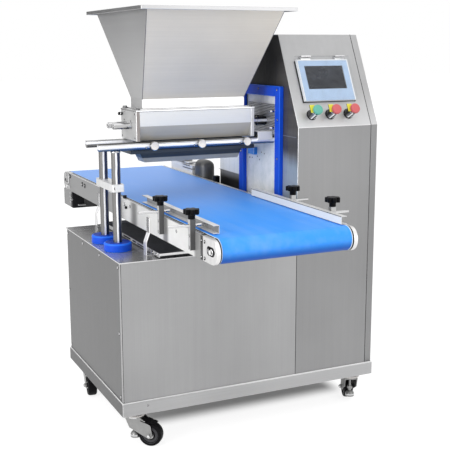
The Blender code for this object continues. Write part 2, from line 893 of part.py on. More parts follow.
def make_feed_rollers():
    """Two fluted rollers, each on a slotted shaft that drives through the right end plate."""
    head_left = head_mid_x - head_length / 2
    head_right = head_mid_x + head_length / 2
    drum_left = head_left + end_plate_thickness + 2 * fit_gap
    drum_right = head_right - end_plate_thickness - 2 * fit_gap
    shaft_left = head_left - feed_shaft_left_reach
    shaft_right = carriage_face - fit_gap - drive_plate_thickness - fit_gap
    for which, roller_y in roller_places():
        points = [(roller_y + across, feed_roller_height + up) for across, up in flute_points()]
        axis = (head_mid_x, roller_y, feed_roller_height)
        drum = plate(which + "_feed_roller", "polished_steel", "YZ", [points], drum_left, drum_right, axis)
        start = (shaft_left, roller_y, feed_roller_height)
        end = (shaft_right, roller_y, feed_roller_height)
        join(drum, rod(start, end, feed_shaft_radius))
        collar = (shaft_right - coupling_length, roller_y, feed_roller_height)
        join(drum, rod(collar, end, coupling_radius, round_sides))
        slot_half, slot_end = feed_shaft_slot / 2, shaft_left + feed_shaft_slot_depth
        slot_low = (shaft_left - overrun, roller_y - slot_half, feed_roller_height - coupling_radius)
        slot_high = (slot_end, roller_y + slot_half, feed_roller_height + coupling_radius)
        cut(drum, box(slot_low, slot_high))


def make_feed_gearmotor():
    """The drive plate in the carriage window, with the gearbox and motor behind it."""
    face = carriage_face - fit_gap - drive_plate_thickness
    half = drive_plate_depth / 2
    foot_z = bar_height + drive_plate_above_bar
    low = (face, head_mid_y - half, foot_z)
    high = (carriage_face - fit_gap, head_mid_y + half, foot_z + drive_plate_height)
    drive = new_piece("feed_gearmotor", "brushed_steel", box(low, high))
    back = carriage_face + carriage_plate_thickness + fit_gap
    gearbox_back = back + gearbox_depth
    axis_y, axis_z = head_mid_y, feed_roller_height
    neck_start = (carriage_face - drive_plate_thickness / 2, axis_y, axis_z)
    neck_end = (back + gearbox_depth / 2, axis_y, axis_z)
    join(drive, rod(neck_start, neck_end, drive_neck_radius, round_sides))
    box_low = (back, axis_y - gearbox_side / 2, axis_z - gearbox_side / 2)
    box_high = (gearbox_back, axis_y + gearbox_side / 2, axis_z + gearbox_side / 2)
    join(drive, box(box_low, box_high))
    motor_start = (gearbox_back - gearbox_depth / 2, axis_y, axis_z)
    motor_end = (gearbox_back + feed_motor_length, axis_y, axis_z)
    join(drive, rod(motor_start, motor_end, feed_motor_radius, round_sides))
    pin_y = low[1] + locating_pin_inset
    for pin_z in (low[2] + locating_pin_drop, high[2] - locating_pin_drop):
        pin_tip = (face - locating_pin_length, pin_y, pin_z)
        join(drive, rod(pin_tip, (face + drive_plate_thickness / 2, pin_y, pin_z), locating_pin_radius))


def make_nozzle_manifold():
    """The trough under the bars, with the long slot that the dough leaves by."""
    plate_top = bar_height - bar_radius - nozzle_plate_below_bar
    plate_bottom = plate_top - nozzle_plate_thickness
    trough_bottom = plate_bottom - manifold_height
    half_top, half_bottom = manifold_top_length / 2, manifold_bottom_length / 2
    outline = [
        (head_mid_x - half_top, plate_bottom + nozzle_plate_thickness / 2),
        (head_mid_x - half_top, plate_bottom),
        (head_mid_x - half_bottom, trough_bottom),
        (head_mid_x + half_bottom, trough_bottom),
        (head_mid_x + half_top, plate_bottom),
        (head_mid_x + half_top, plate_bottom + nozzle_plate_thickness / 2),
    ]
    half_depth = manifold_depth / 2
    span = (-head_mid_y - half_depth, -head_mid_y + half_depth)
    trough = plate("nozzle_manifold", "dark_steel", "XZ", [outline], *span)
    half_plate = (nozzle_plate_length / 2, nozzle_plate_depth / 2)
    low = (head_mid_x - half_plate[0], head_mid_y - half_plate[1], plate_bottom)
    high = (head_mid_x + half_plate[0], head_mid_y + half_plate[1], plate_top)
    join(trough, box(low, high))
    half_throat = (nozzle_throat_length / 2, nozzle_throat_depth / 2)
    throat_foot = plate_bottom + nozzle_plate_thickness / 2
    low = (head_mid_x - half_throat[0], head_mid_y - half_throat[1], throat_foot)
    high = (head_mid_x + half_throat[0], head_mid_y + half_throat[1], head_base - fit_gap)
    join(trough, box(low, high))
    slot_half = (dough_slot_length / 2, dough_slot_depth / 2)
    low = (head_mid_x - slot_half[0], head_mid_y - slot_half[1], trough_bottom - overrun)
    high = (head_mid_x + slot_half[0], head_mid_y + slot_half[1], head_base + overrun)
    cut(trough, box(low, high))


def make_clamp_knobs():
    """Three hand knobs whose studs pass through the front bar and pinch the nozzle block."""
    bar_y = lift_bars[0][1]
    face_y = bar_y - bar_radius - clamp_knob_standoff
    tip = head_mid_y - nozzle_throat_depth / 2 - fit_gap - face_y
    thickness = clamp_knob_thickness
    rim = clamp_knob_radius
    edge = rim - clamp_knob_edge
    profile = [
        (0, tip),
        (clamp_stud_radius, tip),
        (clamp_stud_radius, 0),
        (edge, 0),
        (rim, -clamp_knob_edge),
        (rim, clamp_knob_edge - thickness),
        (edge, -thickness),
        (0, -thickness),
    ]
    names = ("left_clamp_knob", "middle_clamp_knob", "right_clamp_knob")
    for name, place in zip(names, clamp_knob_places):
        turned(name, "polished_steel", profile, (left + place, face_y, bar_height), along_y(), small_sides)


def make_hopper():
    """A folded sheet hopper: foot flange, neck, sloping walls and a turned-down lip."""
    foot_z = head_top + head_flange_thickness + fit_gap
    foot_top = foot_z + hopper_foot_thickness
    neck_z = foot_z + hopper_neck_height
    rim_z = neck_z + hopper_wall_height
    fold_z = rim_z - hopper_lip_fold
    half_wall = hopper_wall / 2
    neck_outside, neck_inside = half_wall, -half_wall
    flange_outside = half_wall + hopper_foot
    lip_outside = half_wall + hopper_lip
    lip_inside = lip_outside - hopper_wall
    rings = [
        (hopper_neck, neck_inside, foot_z),
        (hopper_neck, neck_inside, neck_z),
        (hopper_mouth, neck_inside, rim_z),
        (hopper_mouth, lip_outside, rim_z),
        (hopper_mouth, lip_outside, fold_z),
        (hopper_mouth, lip_inside, fold_z),
        (hopper_mouth, lip_inside, rim_z - hopper_wall),
        (hopper_mouth, neck_outside, rim_z - hopper_wall),
        (hopper_neck, neck_outside, neck_z),
        (hopper_neck, neck_outside, foot_top),
        (hopper_neck, flange_outside, foot_top),
        (hopper_neck, flange_outside, foot_z),
    ]
    shape = bmesh.new()
    rows = []
    for (length, depth), grow, z in rings:
        half_x, half_y = length / 2 + grow, depth / 2 + grow
        corners = ((-half_x, -half_y), (half_x, -half_y), (half_x, half_y), (-half_x, half_y))
        rows.append([shape.verts.new((head_mid_x + x, head_mid_y + y, z)) for x, y in corners])
    for row, ring in enumerate(rows):
        before = rows[row - 1]
        for side in range(4):
            beside = (side + 1) % 4
            shape.faces.new((before[side], before[beside], ring[beside], ring[side]))
    new_piece("hopper", "brushed_steel", shape)


def channel_path():
    """The left side channel of the conveyor, open towards the belt."""
    return [
        (conveyor_left + channel_flange, channel_bottom),
        (conveyor_left, channel_bottom),
        (conveyor_left, channel_top),
        (conveyor_left + channel_flange, channel_top),
    ]


def end_block(name, x_low, tip, root, look="aluminium"):
    """A round-nosed block at a conveyor end, with a slot for the roller's shaft."""
    middle_z = (channel_bottom + channel_top) / 2
    radius = channel_height / 2 - fit_gap
    low_z, high_z = middle_z - radius, middle_z + radius
    inward = 1 if root > tip else -1
    nose = tip + inward * radius
    start = 90 if inward > 0 else 270
    points = arc((nose, middle_z), radius, start, start + 180, arc_steps)
    points += [(root, low_z), (root, high_z)][::inward]
    shaft_y = tip + inward * belt_axis_inset
    reach = tension_slot_length / 2
    hole = belt_shaft_radius + shaft_clearance
    slot = arc((shaft_y + reach, belt_axis_z), hole, -90, 90, corner_steps)
    slot += arc((shaft_y - reach, belt_axis_z), hole, 90, 270, corner_steps)
    return plate(name, look, "YZ", [points, slot], x_low, x_low + end_block_width)


def guide_posts(side):
    """Square posts on the outer face of a side channel, one for each guide rod."""
    outer = conveyor_left if side == "left" else conveyor_right
    out = -1 if side == "left" else 1
    low_z = channel_top + guide_post_above_channel - guide_post_height
    shapes = []
    for place in guide_post_places:
        y = front + place
        near = outer - out * channel_wall / 2
        far = outer + out * guide_post_side
        low = (min(near, far), y - guide_post_side / 2, low_z)
        high = (max(near, far), y + guide_post_side / 2, channel_top + guide_post_above_channel)
        shapes.append(box(low, high))
    return shapes


def guide_holes(side):
    """The rod and clamp screw holes of the posts."""
    outer = conveyor_left if side == "left" else conveyor_right
    out = -1 if side == "left" else 1
    rod_z = channel_top + guide_rod_above_channel
    post_top = channel_top + guide_post_above_channel
    shapes = []
    for place in guide_post_places:
        y = front + place
        middle = outer + out * guide_post_side / 2
        reach = guide_post_side / 2 + overrun
        start, end = (middle - reach, y, rod_z), (middle + reach, y, rod_z)
        shapes.append(rod(start, end, guide_rod_radius + fit_gap))
        above = (middle, y, post_top + overrun)
        shapes.append(rod((middle, y, rod_z), above, star_knob_stud_radius + fit_gap))
    return shapes


def bracket_path(seat_x):
    """A bent bar seen from the front: foot, leg, jog inwards and grip on the channel's outer face."""
    out = seat_x - bracket_plate
    leg = out - bracket_jog_out
    return [
        (leg + bracket_foot, cabinet_top + fit_gap),
        (leg, cabinet_top + fit_gap),
        (leg, channel_bottom - bracket_jog_drop),
        (out, channel_bottom - 2 * fit_gap),
        (out, channel_bottom + bracket_grip),
    ]


def bracket_span(place):
    return -(front + place + bracket_width / 2), -(front + place - bracket_width / 2)


def make_conveyor():
    channel_start = conveyor_front + end_block_length
    channel_end = conveyor_rear - rear_block_shown
    left_outline = thickened(channel_path(), -channel_wall)
    right_outline = thickened(mirrored(channel_path(), conveyor_mid), -channel_wall)
    block_left = conveyor_left + fit_gap
    block_right = conveyor_right - end_block_width - fit_gap

    span = (-channel_end, -channel_start)
    left_side = plate("conveyor_left_plate", "brushed_steel", "XZ", [left_outline], *span)
    rear_root = conveyor_rear - end_block_length
    join(left_side, end_block("rear_left_block", block_left, conveyor_rear, rear_root, "brushed_steel"))
    join(left_side, *guide_posts("left"))
    cut(left_side, *guide_holes("left"))
    front_root = channel_start - fit_gap
    end_block("front_left_end_block", conveyor_left, conveyor_front, front_root)

    frame = plate("conveyor_frame", "brushed_steel", "XZ", [right_outline], *span)
    join(frame, end_block("rear_right_block", block_right, conveyor_rear, rear_root, "brushed_steel"))
    join(frame, end_block("front_right_block", block_right, conveyor_front, channel_start + channel_wall))
    bed_top = belt_top - belt_thickness - belt_running_gap
    bed_low = (conveyor_mid - belt_width / 2, channel_start + bed_margin, bed_top - bed_thickness)
    bed_high = (conveyor_right - channel_flange / 2, channel_end - bed_margin, bed_top)
    join(frame, box(bed_low, bed_high))
    join(frame, *guide_posts("right"))
    cut(frame, *guide_holes("right"))
    seat = conveyor_left + channel_wall / 2
    right_bracket = thickened(mirrored(bracket_path(seat), conveyor_mid), -bracket_plate)
    for place in bracket_places:
        join(frame, plate("right_bracket", "brushed_steel", "XZ", [right_bracket], *bracket_span(place)))


def make_left_brackets():
    outline = thickened(bracket_path(conveyor_left - fit_gap), -bracket_plate)
    for which, place in zip(("front", "rear"), bracket_places):
        plate(which + "_conveyor_bracket", "brushed_steel", "XZ", [outline], *bracket_span(place))


def make_belt():
    """The endless belt and its two rollers."""
    front_axis = conveyor_front + belt_axis_inset
    rear_axis = conveyor_rear - belt_axis_inset
    belt_low = conveyor_mid - belt_width / 2
    loops = []
    for radius in (belt_radius, belt_radius - belt_thickness):
        rear_turn = arc((rear_axis, belt_axis_z), radius, -90, 90, arc_steps)
        front_turn = arc((front_axis, belt_axis_z), radius, 90, 270, arc_steps)
        loops.append(rear_turn + front_turn)
    plate("conveyor_belt", "belt_blue", "YZ", loops, belt_low, belt_low + belt_width)

    radius = belt_radius - belt_thickness - fit_gap
    half_drum = belt_width / 2 - roller_end_gap
    half_shaft = conveyor_width / 2 - roller_end_gap
    profile = [
        (0, half_shaft),
        (belt_shaft_radius, half_shaft),
        (belt_shaft_radius, half_drum),
        (radius, half_drum),
        (radius, -half_drum),
        (belt_shaft_radius, -half_drum),
        (belt_shaft_radius, -half_shaft),
        (0, -half_shaft),
    ]
    for which, axis_y in (("front", front_axis), ("rear", rear_axis)):
        place = (conveyor_mid, axis_y, belt_axis_z)
        turned(which + "_belt_roller", "aluminium", profile, place, along_x(), small_sides)


def make_belt_drive():
    """The pan under the rear end of the belt, and the geared motor on the right channel."""
    top = channel_bottom - fit_gap
    low = (conveyor_left, conveyor_rear - drive_cover_length, top - drive_cover_drop)
    high = (conveyor_right, conveyor_rear - fit_gap, top)
    pan = new_piece("belt_drive_cover", "brushed_steel", box(low, high))
    inner_low = tuple(value + sheet for value in low)
    inner_high = (high[0] - sheet, high[1] - sheet, high[2] + overrun)
    cut(pan, box(inner_low, inner_high))

    motor_top = channel_top + gearmotor_above_channel
    low = (conveyor_right + fit_gap, front + gearmotor_from_front, motor_top - gearmotor_size[2])
    high = tuple(start + size for start, size in zip(low, gearmotor_size))
    motor = new_piece("conveyor_gearmotor", "motor_grey", box(low, high))
    edge = motor.modifiers.new("edge", "BEVEL")
    edge.width = gearmotor_edge
    edge.segments = 2


def make_tray():
    """The shallow crumb tray that slides out to the front under the conveyor."""
    low = (
        conveyor_left + tray_side_gap,
        front + tray_front_inset,
        cabinet_top + tray_lift,
    )
    high = (conveyor_right - tray_side_gap, low[1] + tray_depth, low[2] + tray_rim)
    tray = new_piece("crumb_tray", "polished_steel", box(low, high), low)
    inner_low = tuple(value + sheet for value in low)
    inner_high = (high[0] - sheet, high[1] - sheet, high[2] + overrun)
    cut(tray, box(inner_low, inner_high))


def make_guide_rail(side):
    """A channel rail on two rods that slide through the posts."""
    rail_bottom = belt_top + rail_above_belt
    out = -1 if side == "left" else 1
    outer = conveyor_left if side == "left" else conveyor_right
    inset = left_rail_inset if side == "left" else right_rail_inset
    reach = left_rod_reach if side == "left" else right_rod_reach
    face = outer - out * inset
    back = face + out * rail_depth
    path = [
        (back, rail_bottom),
        (face, rail_bottom),
        (face, rail_bottom + rail_height),
        (back, rail_bottom + rail_height),
    ]
    outline = thickened(path, sheet if side == "left" else -sheet)
    start = front + (left_rail_start if side == "left" else right_rail_start)
    end = start + (left_rail_length if side == "left" else right_rail_length)
    rail = plate(side + "_guide_rail", "brushed_steel", "XZ", [outline], -end, -start)
    rod_z = channel_top + guide_rod_above_channel
    for place in guide_post_places:
        tip = (outer + out * reach, front + place, rod_z)
        root = (face + out * sheet / 2, front + place, rod_z)
        join(rail, rod(tip, root, guide_rod_radius))


def make_star_knobs():
    """Lobed hand knobs on the guide posts."""
    count = star_knob_lobes * star_knob_lobe_points
    points = []
    for index in range(count):
        turn = 2 * math.pi * index / count
        radius = star_knob_radius + star_knob_lobe * math.cos(star_knob_lobes * turn)
        points.append((radius * math.cos(turn), radius * math.sin(turn)))
    hub_top = star_knob_hub_height
    knob = plate("knob_shape", "black_plastic", "XY", [points], hub_top, hub_top + star_knob_disc)
    join(knob, rod((0, 0, 0), (0, 0, hub_top + star_knob_disc / 2), star_knob_hub_radius))
    stud_foot = (0, 0, -star_knob_stud_length)
    join(knob, rod(stud_foot, (0, 0, hub_top), star_knob_stud_radius))
    baked(knob)
    post_top = channel_top + guide_post_above_channel + fit_gap
    half_post = guide_post_side / 2
    names = ("front", "rear")
    for side, x in (("left", conveyor_left - half_post), ("right", conveyor_right + half_post)):
        for which, place in zip(names, guide_post_places):
            copied(knob, f"{which}_{side}_star_knob", Matrix.Translation((x, front + place, post_top)))
    parts.objects.unlink(knob)
    bpy.data.objects.remove(knob)


def make_controls():
    """Touch screen with its hinged clear cover, and three mushroom buttons."""
    face = screen_depth
    high = (screen_left + screen_size[0], screen_rise + screen_size[1], face)
    housing_shape = box((screen_left, screen_rise, fit_gap), high, control_face)
    housing = new_piece("screen_housing", "bezel_blue", housing_shape)
    glass_high = (glass_left + glass_size[0], glass_rise + glass_size[1])
    recess_low = (glass_left, glass_rise, face - glass_recess)
    cut(housing, box(recess_low, (*glass_high, face + overrun), control_face))
    pane_low = (glass_left + fit_gap, glass_rise + fit_gap, recess_low[2] + fit_gap)
    pane_high = (glass_high[0] - fit_gap, glass_high[1] - fit_gap, pane_low[2] + glass_thickness)
    new_piece("touch_screen", "screen_dark", box(pane_low, pane_high, control_face))

    cover_low = (screen_left - cover_margin, screen_rise, face + cover_clear)
    cover_high = (high[0] + cover_margin, high[1] + cover_top_margin, cover_low[2] + cover_sheet)
    hinge_axis = (0, cover_high[1], (cover_low[2] + cover_high[2]) / 2)
    hinge_origin = control_face @ Vector((screen_left + screen_size[0] / 2, hinge_axis[1], hinge_axis[2]))
    cover_shape = box(cover_low, cover_high, control_face)
    cover = new_piece("screen_cover", "clear_cover", cover_shape, hinge_origin, control_turn)
    for place in hinge_places:
        start = (place, hinge_axis[1], hinge_axis[2])
        end = (place + hinge_width, hinge_axis[1], hinge_axis[2])
        join(cover, rod(start, end, hinge_radius, small_sides, control_face))
        leaf_low = (place, high[1] - hinge_leaf_overlap, 2 * fit_gap)
        leaf_top = hinge_axis[2] - hinge_radius - fit_gap
        join(housing, box(leaf_low, (place + hinge_width, high[1] + hinge_height, leaf_top), control_face))

    head_low, head_high = button_head_lift, button_head_lift + button_head_height
    rim = button_head_radius
    profile = [
        (0, head_high),
        (rim - 2 * button_head_edge, head_high),
        (rim, head_high - button_head_edge),
        (rim, head_low + button_head_edge),
        (rim - button_head_edge, head_low),
        (button_stem_radius, head_low),
        (button_stem_radius, -button_stem_inside),
        (0, -button_stem_inside),
    ]
    names = ("start_button", "stop_button", "emergency_stop_button")
    colours = ("button_green", "button_red", "button_red")
    for name, colour, place in zip(names, colours, button_places):
        seat = control_face @ Vector((place, button_rise, 0))
        turned(name, colour, profile, seat, control_turn, small_sides)


def make_casters():
    """Four swivel forks with levelling feet, each with its wheel."""
    fork_top = -fit_gap - swivel_ring_height - swivel_race_height
    axle_z = wheel_radius - ground_clearance
    half_gap = wheel_width / 2 + wheel_hub_proud + fork_side_gap
    fork = new_piece(
        "fork_shape",
        "zinc",
        rod((0, 0, fork_top), (0, 0, -fit_gap - swivel_ring_height), swivel_race_radius, round_sides),
    )
    ring_foot = (0, 0, -fit_gap - swivel_ring_height - fork_top_thickness / 4)
    join(fork, rod(ring_foot, (0, 0, -fit_gap), swivel_ring_radius, round_sides))
    outer = half_gap + fork_plate
    bridge_half = outer + fit_gap
    bridge_low = (-fork_heel - fit_gap, -bridge_half, fork_top - fork_top_thickness)
    join(fork, box(bridge_low, (fork_toe + fit_gap, bridge_half, fork_top + fork_top_thickness / 4)))
    boss = arc((caster_trail, axle_z), fork_boss, -120, 20, corner_steps)
    cheek = [
        (-fork_heel, fork_top - fork_top_thickness / 2),
        (-fork_neck_back, -fork_neck_drop),
        *boss,
        (fork_lip, -fork_lip_drop),
        (fork_toe, fork_top - fork_top_thickness / 2),
    ]
    for low, high in ((half_gap, outer), (-outer, -half_gap)):
        join(fork, plate("cheek_shape", "zinc", "XZ", [cheek], low, high))
    nut = outer + axle_nut_width
    axle_place = (caster_trail, 0, axle_z)
    axle_end = outer + axle_nut_width / 2
    join(fork, rod((caster_trail, -axle_end, axle_z), (caster_trail, axle_end, axle_z), axle_radius))
    for low, high in ((half_gap + fork_plate / 2, nut), (-nut, -half_gap - fork_plate / 2)):
        start, end = (caster_trail, low, axle_z), (caster_trail, high, axle_z)
        join(fork, rod(start, end, axle_nut_radius, nut_sides))
    pad_foot = foot_lift - ground_clearance
    pad_top = pad_foot + foot_pad_height
    stem_top = fork_top - fork_top_thickness / 2
    join(fork, rod((0, 0, pad_foot + foot_pad_height / 2), (0, 0, stem_top), foot_stem_radius))
    join(fork, rod((0, 0, pad_foot), (0, 0, pad_top), foot_pad_radius, round_sides))
    nut_foot = -fork_neck_drop - foot_nut_height
    join(fork, rod((0, 0, nut_foot), (0, 0, -fork_neck_drop), foot_nut_radius, nut_sides))
    baked(fork)

    flat_radius = wheel_radius / math.cos(math.pi / round_sides)
    tread = wheel_width / 2
    hub = tread + wheel_hub_proud
    bore = axle_radius + 2 * fit_gap
    edge = flat_radius - wheel_tread_edge
    profile = [
        (bore, hub),
        (wheel_hub_radius, hub),
        (wheel_hub_radius, tread),
        (edge, tread),
        (flat_radius, tread - wheel_tread_edge),
        (flat_radius, wheel_tread_edge - tread),
        (edge, -tread),
        (wheel_hub_radius, -tread),
        (wheel_hub_radius, -hub),
        (bore, -hub),
    ]
    half_facet = Matrix.Rotation(math.pi / round_sides, 3, "Z")
    wheel = baked(turned("wheel_shape", "tyre_black", profile, (0, 0, 0), half_facet))
    flat = bmesh.new()
    flat.from_mesh(wheel.data)
    bmesh.ops.transform(flat, matrix=(along_y() @ half_facet).to_4x4(), verts=flat.verts)
    flat.to_mesh(wheel.data)
    flat.free()

    left_x, right_x = left + caster_inset, right - caster_inset
    front_y, rear_y = front + caster_inset_y, rear - caster_inset_y
    corners = (
        ("front_left", left_x, front_y, front_left_heading),
        ("front_right", right_x, front_y, front_right_heading),
        ("rear_left", left_x, rear_y, rear_left_heading),
        ("rear_right", right_x, rear_y, rear_right_heading),
    )
    for name, x, y, heading in corners:
        swivel = Matrix.Rotation(math.radians(heading), 4, "Z")
        place = Matrix.Translation((x, y, ground_clearance)) @ swivel
        copied(fork, name + "_fork", place)
        copied(wheel, name + "_wheel", place @ Matrix.Translation(axle_place))
    for pattern in (fork, wheel):
        bpy.data.objects.remove(pattern)


make_base_frame()
make_cabinet()
make_column()
make_lift_seals()
make_lift_frame()
rod_middle = make_carriage()
make_lift_actuator(rod_middle)
make_head()
make_feed_rollers()
make_feed_gearmotor()
make_nozzle_manifold()
make_clamp_knobs()
make_hopper()
make_conveyor()
make_left_brackets()
make_belt()
make_belt_drive()
make_tray()
make_guide_rail("left")
make_guide_rail("right")
make_star_knobs()
make_controls()
make_casters()
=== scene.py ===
import json
import math

import bmesh
import bpy
from mathutils import Matrix, Vector


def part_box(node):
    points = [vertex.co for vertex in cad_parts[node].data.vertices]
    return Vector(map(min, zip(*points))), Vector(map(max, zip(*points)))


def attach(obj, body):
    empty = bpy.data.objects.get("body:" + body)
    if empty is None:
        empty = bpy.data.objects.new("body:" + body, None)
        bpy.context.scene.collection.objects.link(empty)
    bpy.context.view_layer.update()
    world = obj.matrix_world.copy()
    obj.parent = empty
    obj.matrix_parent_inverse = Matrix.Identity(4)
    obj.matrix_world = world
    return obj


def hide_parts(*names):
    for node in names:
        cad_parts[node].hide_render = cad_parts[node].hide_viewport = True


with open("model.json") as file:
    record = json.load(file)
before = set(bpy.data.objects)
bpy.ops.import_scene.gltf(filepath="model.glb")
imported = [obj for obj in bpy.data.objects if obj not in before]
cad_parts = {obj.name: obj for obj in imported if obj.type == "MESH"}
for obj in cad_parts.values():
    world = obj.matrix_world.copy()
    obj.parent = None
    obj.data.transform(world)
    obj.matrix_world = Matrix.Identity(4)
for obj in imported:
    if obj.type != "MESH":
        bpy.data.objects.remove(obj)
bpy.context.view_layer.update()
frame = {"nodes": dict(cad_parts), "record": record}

# Places on the machine, in metres, as the solids have them
panel_left, panel_front = -0.446, -0.3055
base_front, base_top, cabinet_top = -0.3095, 0.154, 0.596
column_left, knee_z, column_top = 0.15, 0.97, 1.259
slope_top_y = -0.1645
conveyor_left, conveyor_right, conveyor_mid = -0.331, 0.092, -0.1195
channel_bottom, channel_top = 0.667, 0.736
conveyor_tip, roller_z = 0.7465, 0.7025
head_mid = Vector((-0.125, -0.0675))
head_left, head_right = -0.328, 0.078
head_top, flange_top = 1.0251, 1.0291
bar_height, bar_radius = 0.919, 0.0125
bar_places = (-0.1325, -0.0025)
post_x, post_radius = -0.395, 0.014
carriage_face = 0.1525
button_places, button_rise = (0.057, 0.1255, 0.194), 0.041
hopper_neck, hopper_mouth = Vector((0.1745, 0.0525)), Vector((0.223, 0.242))
neck_top, rim_top = 1.0614, 1.336
guide_post_places = (-0.5985, -0.3655)
guide_post_top = 0.77
caster_drop = 0.112
axle_place = Vector((0.052, 0, -0.0745))

left_out, right_out = Vector((-1, 0, 0)), Vector((1, 0, 0))
front_out, rear_out, up = Vector((0, -1, 0)), Vector((0, 1, 0)), Vector((0, 0, 1))
slope_up = Vector((0, slope_top_y - panel_front, column_top - knee_z)).normalized()
slope_out = Vector((0, -slope_up.z, slope_up.y))
control_turn = Matrix((right_out, slope_up, slope_out)).transposed().to_4x4()
control_face = Matrix.Translation((column_left, panel_front, knee_z)) @ control_turn


def grey(tone):
    return (tone, tone, tone)


class Signal:
    """A number or colour that a node gives; sums and products of numbers add Math nodes."""

    def __init__(self, nodes, socket):
        self.nodes = nodes
        self.socket = socket

    def worked(self, operation, first, second):
        return self.nodes.node("ShaderNodeMath", {"operation": operation}, {0: first, 1: second})

    def __add__(self, other):
        return self.worked("ADD", self, other)

    def __radd__(self, other):
        return self.worked("ADD", other, self)

    def __sub__(self, other):
        return self.worked("SUBTRACT", self, other)

    def __rsub__(self, other):
        return self.worked("SUBTRACT", other, self)

    def __mul__(self, other):
        return self.worked("MULTIPLY", self, other)

    def __rmul__(self, other):
        return self.worked("MULTIPLY", other, self)


class Nodes:
    """A node tree, to which nodes are added one by one."""

    def __init__(self, tree):
        self.tree = tree

    def node(self, kind, settings=None, sockets=None, output=0):
        made = self.tree.nodes.new(kind)
        for name, value in (settings or {}).items():
            setattr(made, name, value)
        for socket, value in (sockets or {}).items():
            self.join(value, made.inputs[socket])
        return Signal(self, made.outputs[output])

    def join(self, value, socket):
        if isinstance(value, Signal):
            self.tree.links.new(value.socket, socket)
        else:
            socket.default_value = value

    def background_rays(self):
        """1 for the rays that show the background: seen directly, or in metal or glass."""
        seen = self.node("ShaderNodeLightPath", output="Is Camera Ray")
        for ray in ("Is Glossy Ray", "Is Transmission Ray"):
            seen = seen.worked("MAXIMUM", seen, self.node("ShaderNodeLightPath", output=ray))
        return seen


class Finish(Nodes):
    """A material made of nodes; constants go on the shader's own sockets."""

    def __init__(self, name, color, roughness, metallic=0.0, **constants):
        self.color = color
        self.material = bpy.data.materials.new(name)
        self.material.use_nodes = True
        super().__init__(self.material.node_tree)
        self.shader = self.tree.nodes["Principled BSDF"]
        self.set("Base Color", (*color, 1))
        self.set("Roughness", roughness)
        self.set("Metallic", metallic)
        for socket, value in constants.items():
            self.set(socket.replace("_", " "), value)
        self.material.diffuse_color = (*color, 1)
        self.place = self.node("ShaderNodeTexCoord", output="Object")

    def set(self, socket, value):
        self.join(value, self.shader.inputs[socket])

    def noise(self, stretch, detail, rough=0.5):
        """Soft random relief, that many waves to the metre, or along each axis, about zero."""
        if not isinstance(stretch, tuple):
            stretch = (stretch, stretch, stretch)
        place = self.node("ShaderNodeMapping", {}, {"Vector": self.place, "Scale": stretch})
        sockets = {"Vector": place, "Scale": 1.0, "Detail": detail, "Roughness": rough}
        return self.node("ShaderNodeTexNoise", {}, sockets) - 0.5

    def clipped(self, value):
        return self.node("ShaderNodeMath", {"operation": "ADD", "use_clamp": True}, {0: value, 1: 0.0})

    def blend(self, share, first, second):
        sockets = {0: share, 6: self.rgba(first), 7: self.rgba(second)}
        return self.node("ShaderNodeMix", {"data_type": "RGBA"}, sockets, output=2)

    def between(self, change, first, second):
        """A colour between two, by a signal that runs from about -0.5 to 0.5."""
        return self.blend(self.clipped(change + 0.5), first, second)

    @staticmethod
    def rgba(color):
        return color if isinstance(color, Signal) else (*color, 1)

    def shade(self, change, low=0.6, high=1.4):
        """The base colour made lighter or darker by a signal that runs from about -0.5 to 0.5."""
        dark = [value * low for value in self.color]
        light = [min(1, value * high) for value in self.color]
        return self.between(change, dark, light)

    def look(self, color, roughness, height, strength, distance):
        """Sets the colour and the roughness, and the height of a fine relief."""
        self.set("Base Color", color)
        self.set("Roughness", roughness)
        sockets = {"Height": height, "Strength": strength, "Distance": distance}
        self.set("Normal", self.node("ShaderNodeBump", {}, sockets))
        return self

    def axis(self, name):
        """The place along one axis, in metres."""
        return self.node("ShaderNodeSeparateXYZ", {}, {0: self.place}, output=name)

    def ramp(self, value, low, high):
        """0 below low, 1 above high, and smooth between."""
        settings = {"interpolation_type": "SMOOTHSTEP"}
        sockets = {"Value": value, "From Min": low, "From Max": high, "To Min": 0.0, "To Max": 1.0}
        return self.node("ShaderNodeMapRange", settings, sockets)


grain_stretch = {"X": (4, 700, 700), "Y": (700, 4, 700), "Z": (700, 700, 4)}
streak_stretch = {"X": (1.5, 60, 60), "Y": (60, 1.5, 60), "Z": (60, 60, 1.5)}


def brushed(
    name, tone, grain="Z", roughness=0.42, streaks=0.1, smudges=0.5, metallic=0.55, tint=(1, 1, 1.01), fade=None,
):
    """Satin stainless sheet: fine grain along one axis, long faint streaks and broad soft smudges.
    A fade is a height range and how much lighter the sheet gets from its low to its high end; it paints light and
    shade into the colour."""
    finish = Finish(name, [tone * share for share in tint], roughness, metallic)
    fine = finish.noise(grain_stretch[grain], 2.0)
    streak = finish.noise(streak_stretch[grain], 2.0)
    smudge = finish.noise(2.6, 2.0)
    wear = finish.noise(38, 4.0, 0.7)
    change = fine * 0.18 + streak * streaks + smudge * smudges + wear * 0.06
    if fade:
        low, high, gain = fade
        change = change + (finish.ramp(finish.axis("Z"), low, high) - 0.5) * gain
    return finish.look(
        finish.shade(change),
        fine * 0.12 + smudge * 0.16 + wear * 0.06 + roughness, fine + streak * 0.4, 0.06, 0.0002,
    )


def polished(name, tone, roughness):
    """Bright drawn steel: nearly a mirror, with hair lines, dull patches and fine pits."""
    finish = Finish(name, (tone, tone, tone * 1.01), roughness, 1.0)
    hair = finish.noise(420, 3.0, 0.7)
    patch = finish.noise(14, 3.0)
    return finish.look(
        finish.shade(hair * 0.2 + patch * 0.35, 0.75, 1.25),
        finish.clipped(hair * 0.1 + patch * 0.14 + roughness), hair, 0.03, 0.0001,
    )


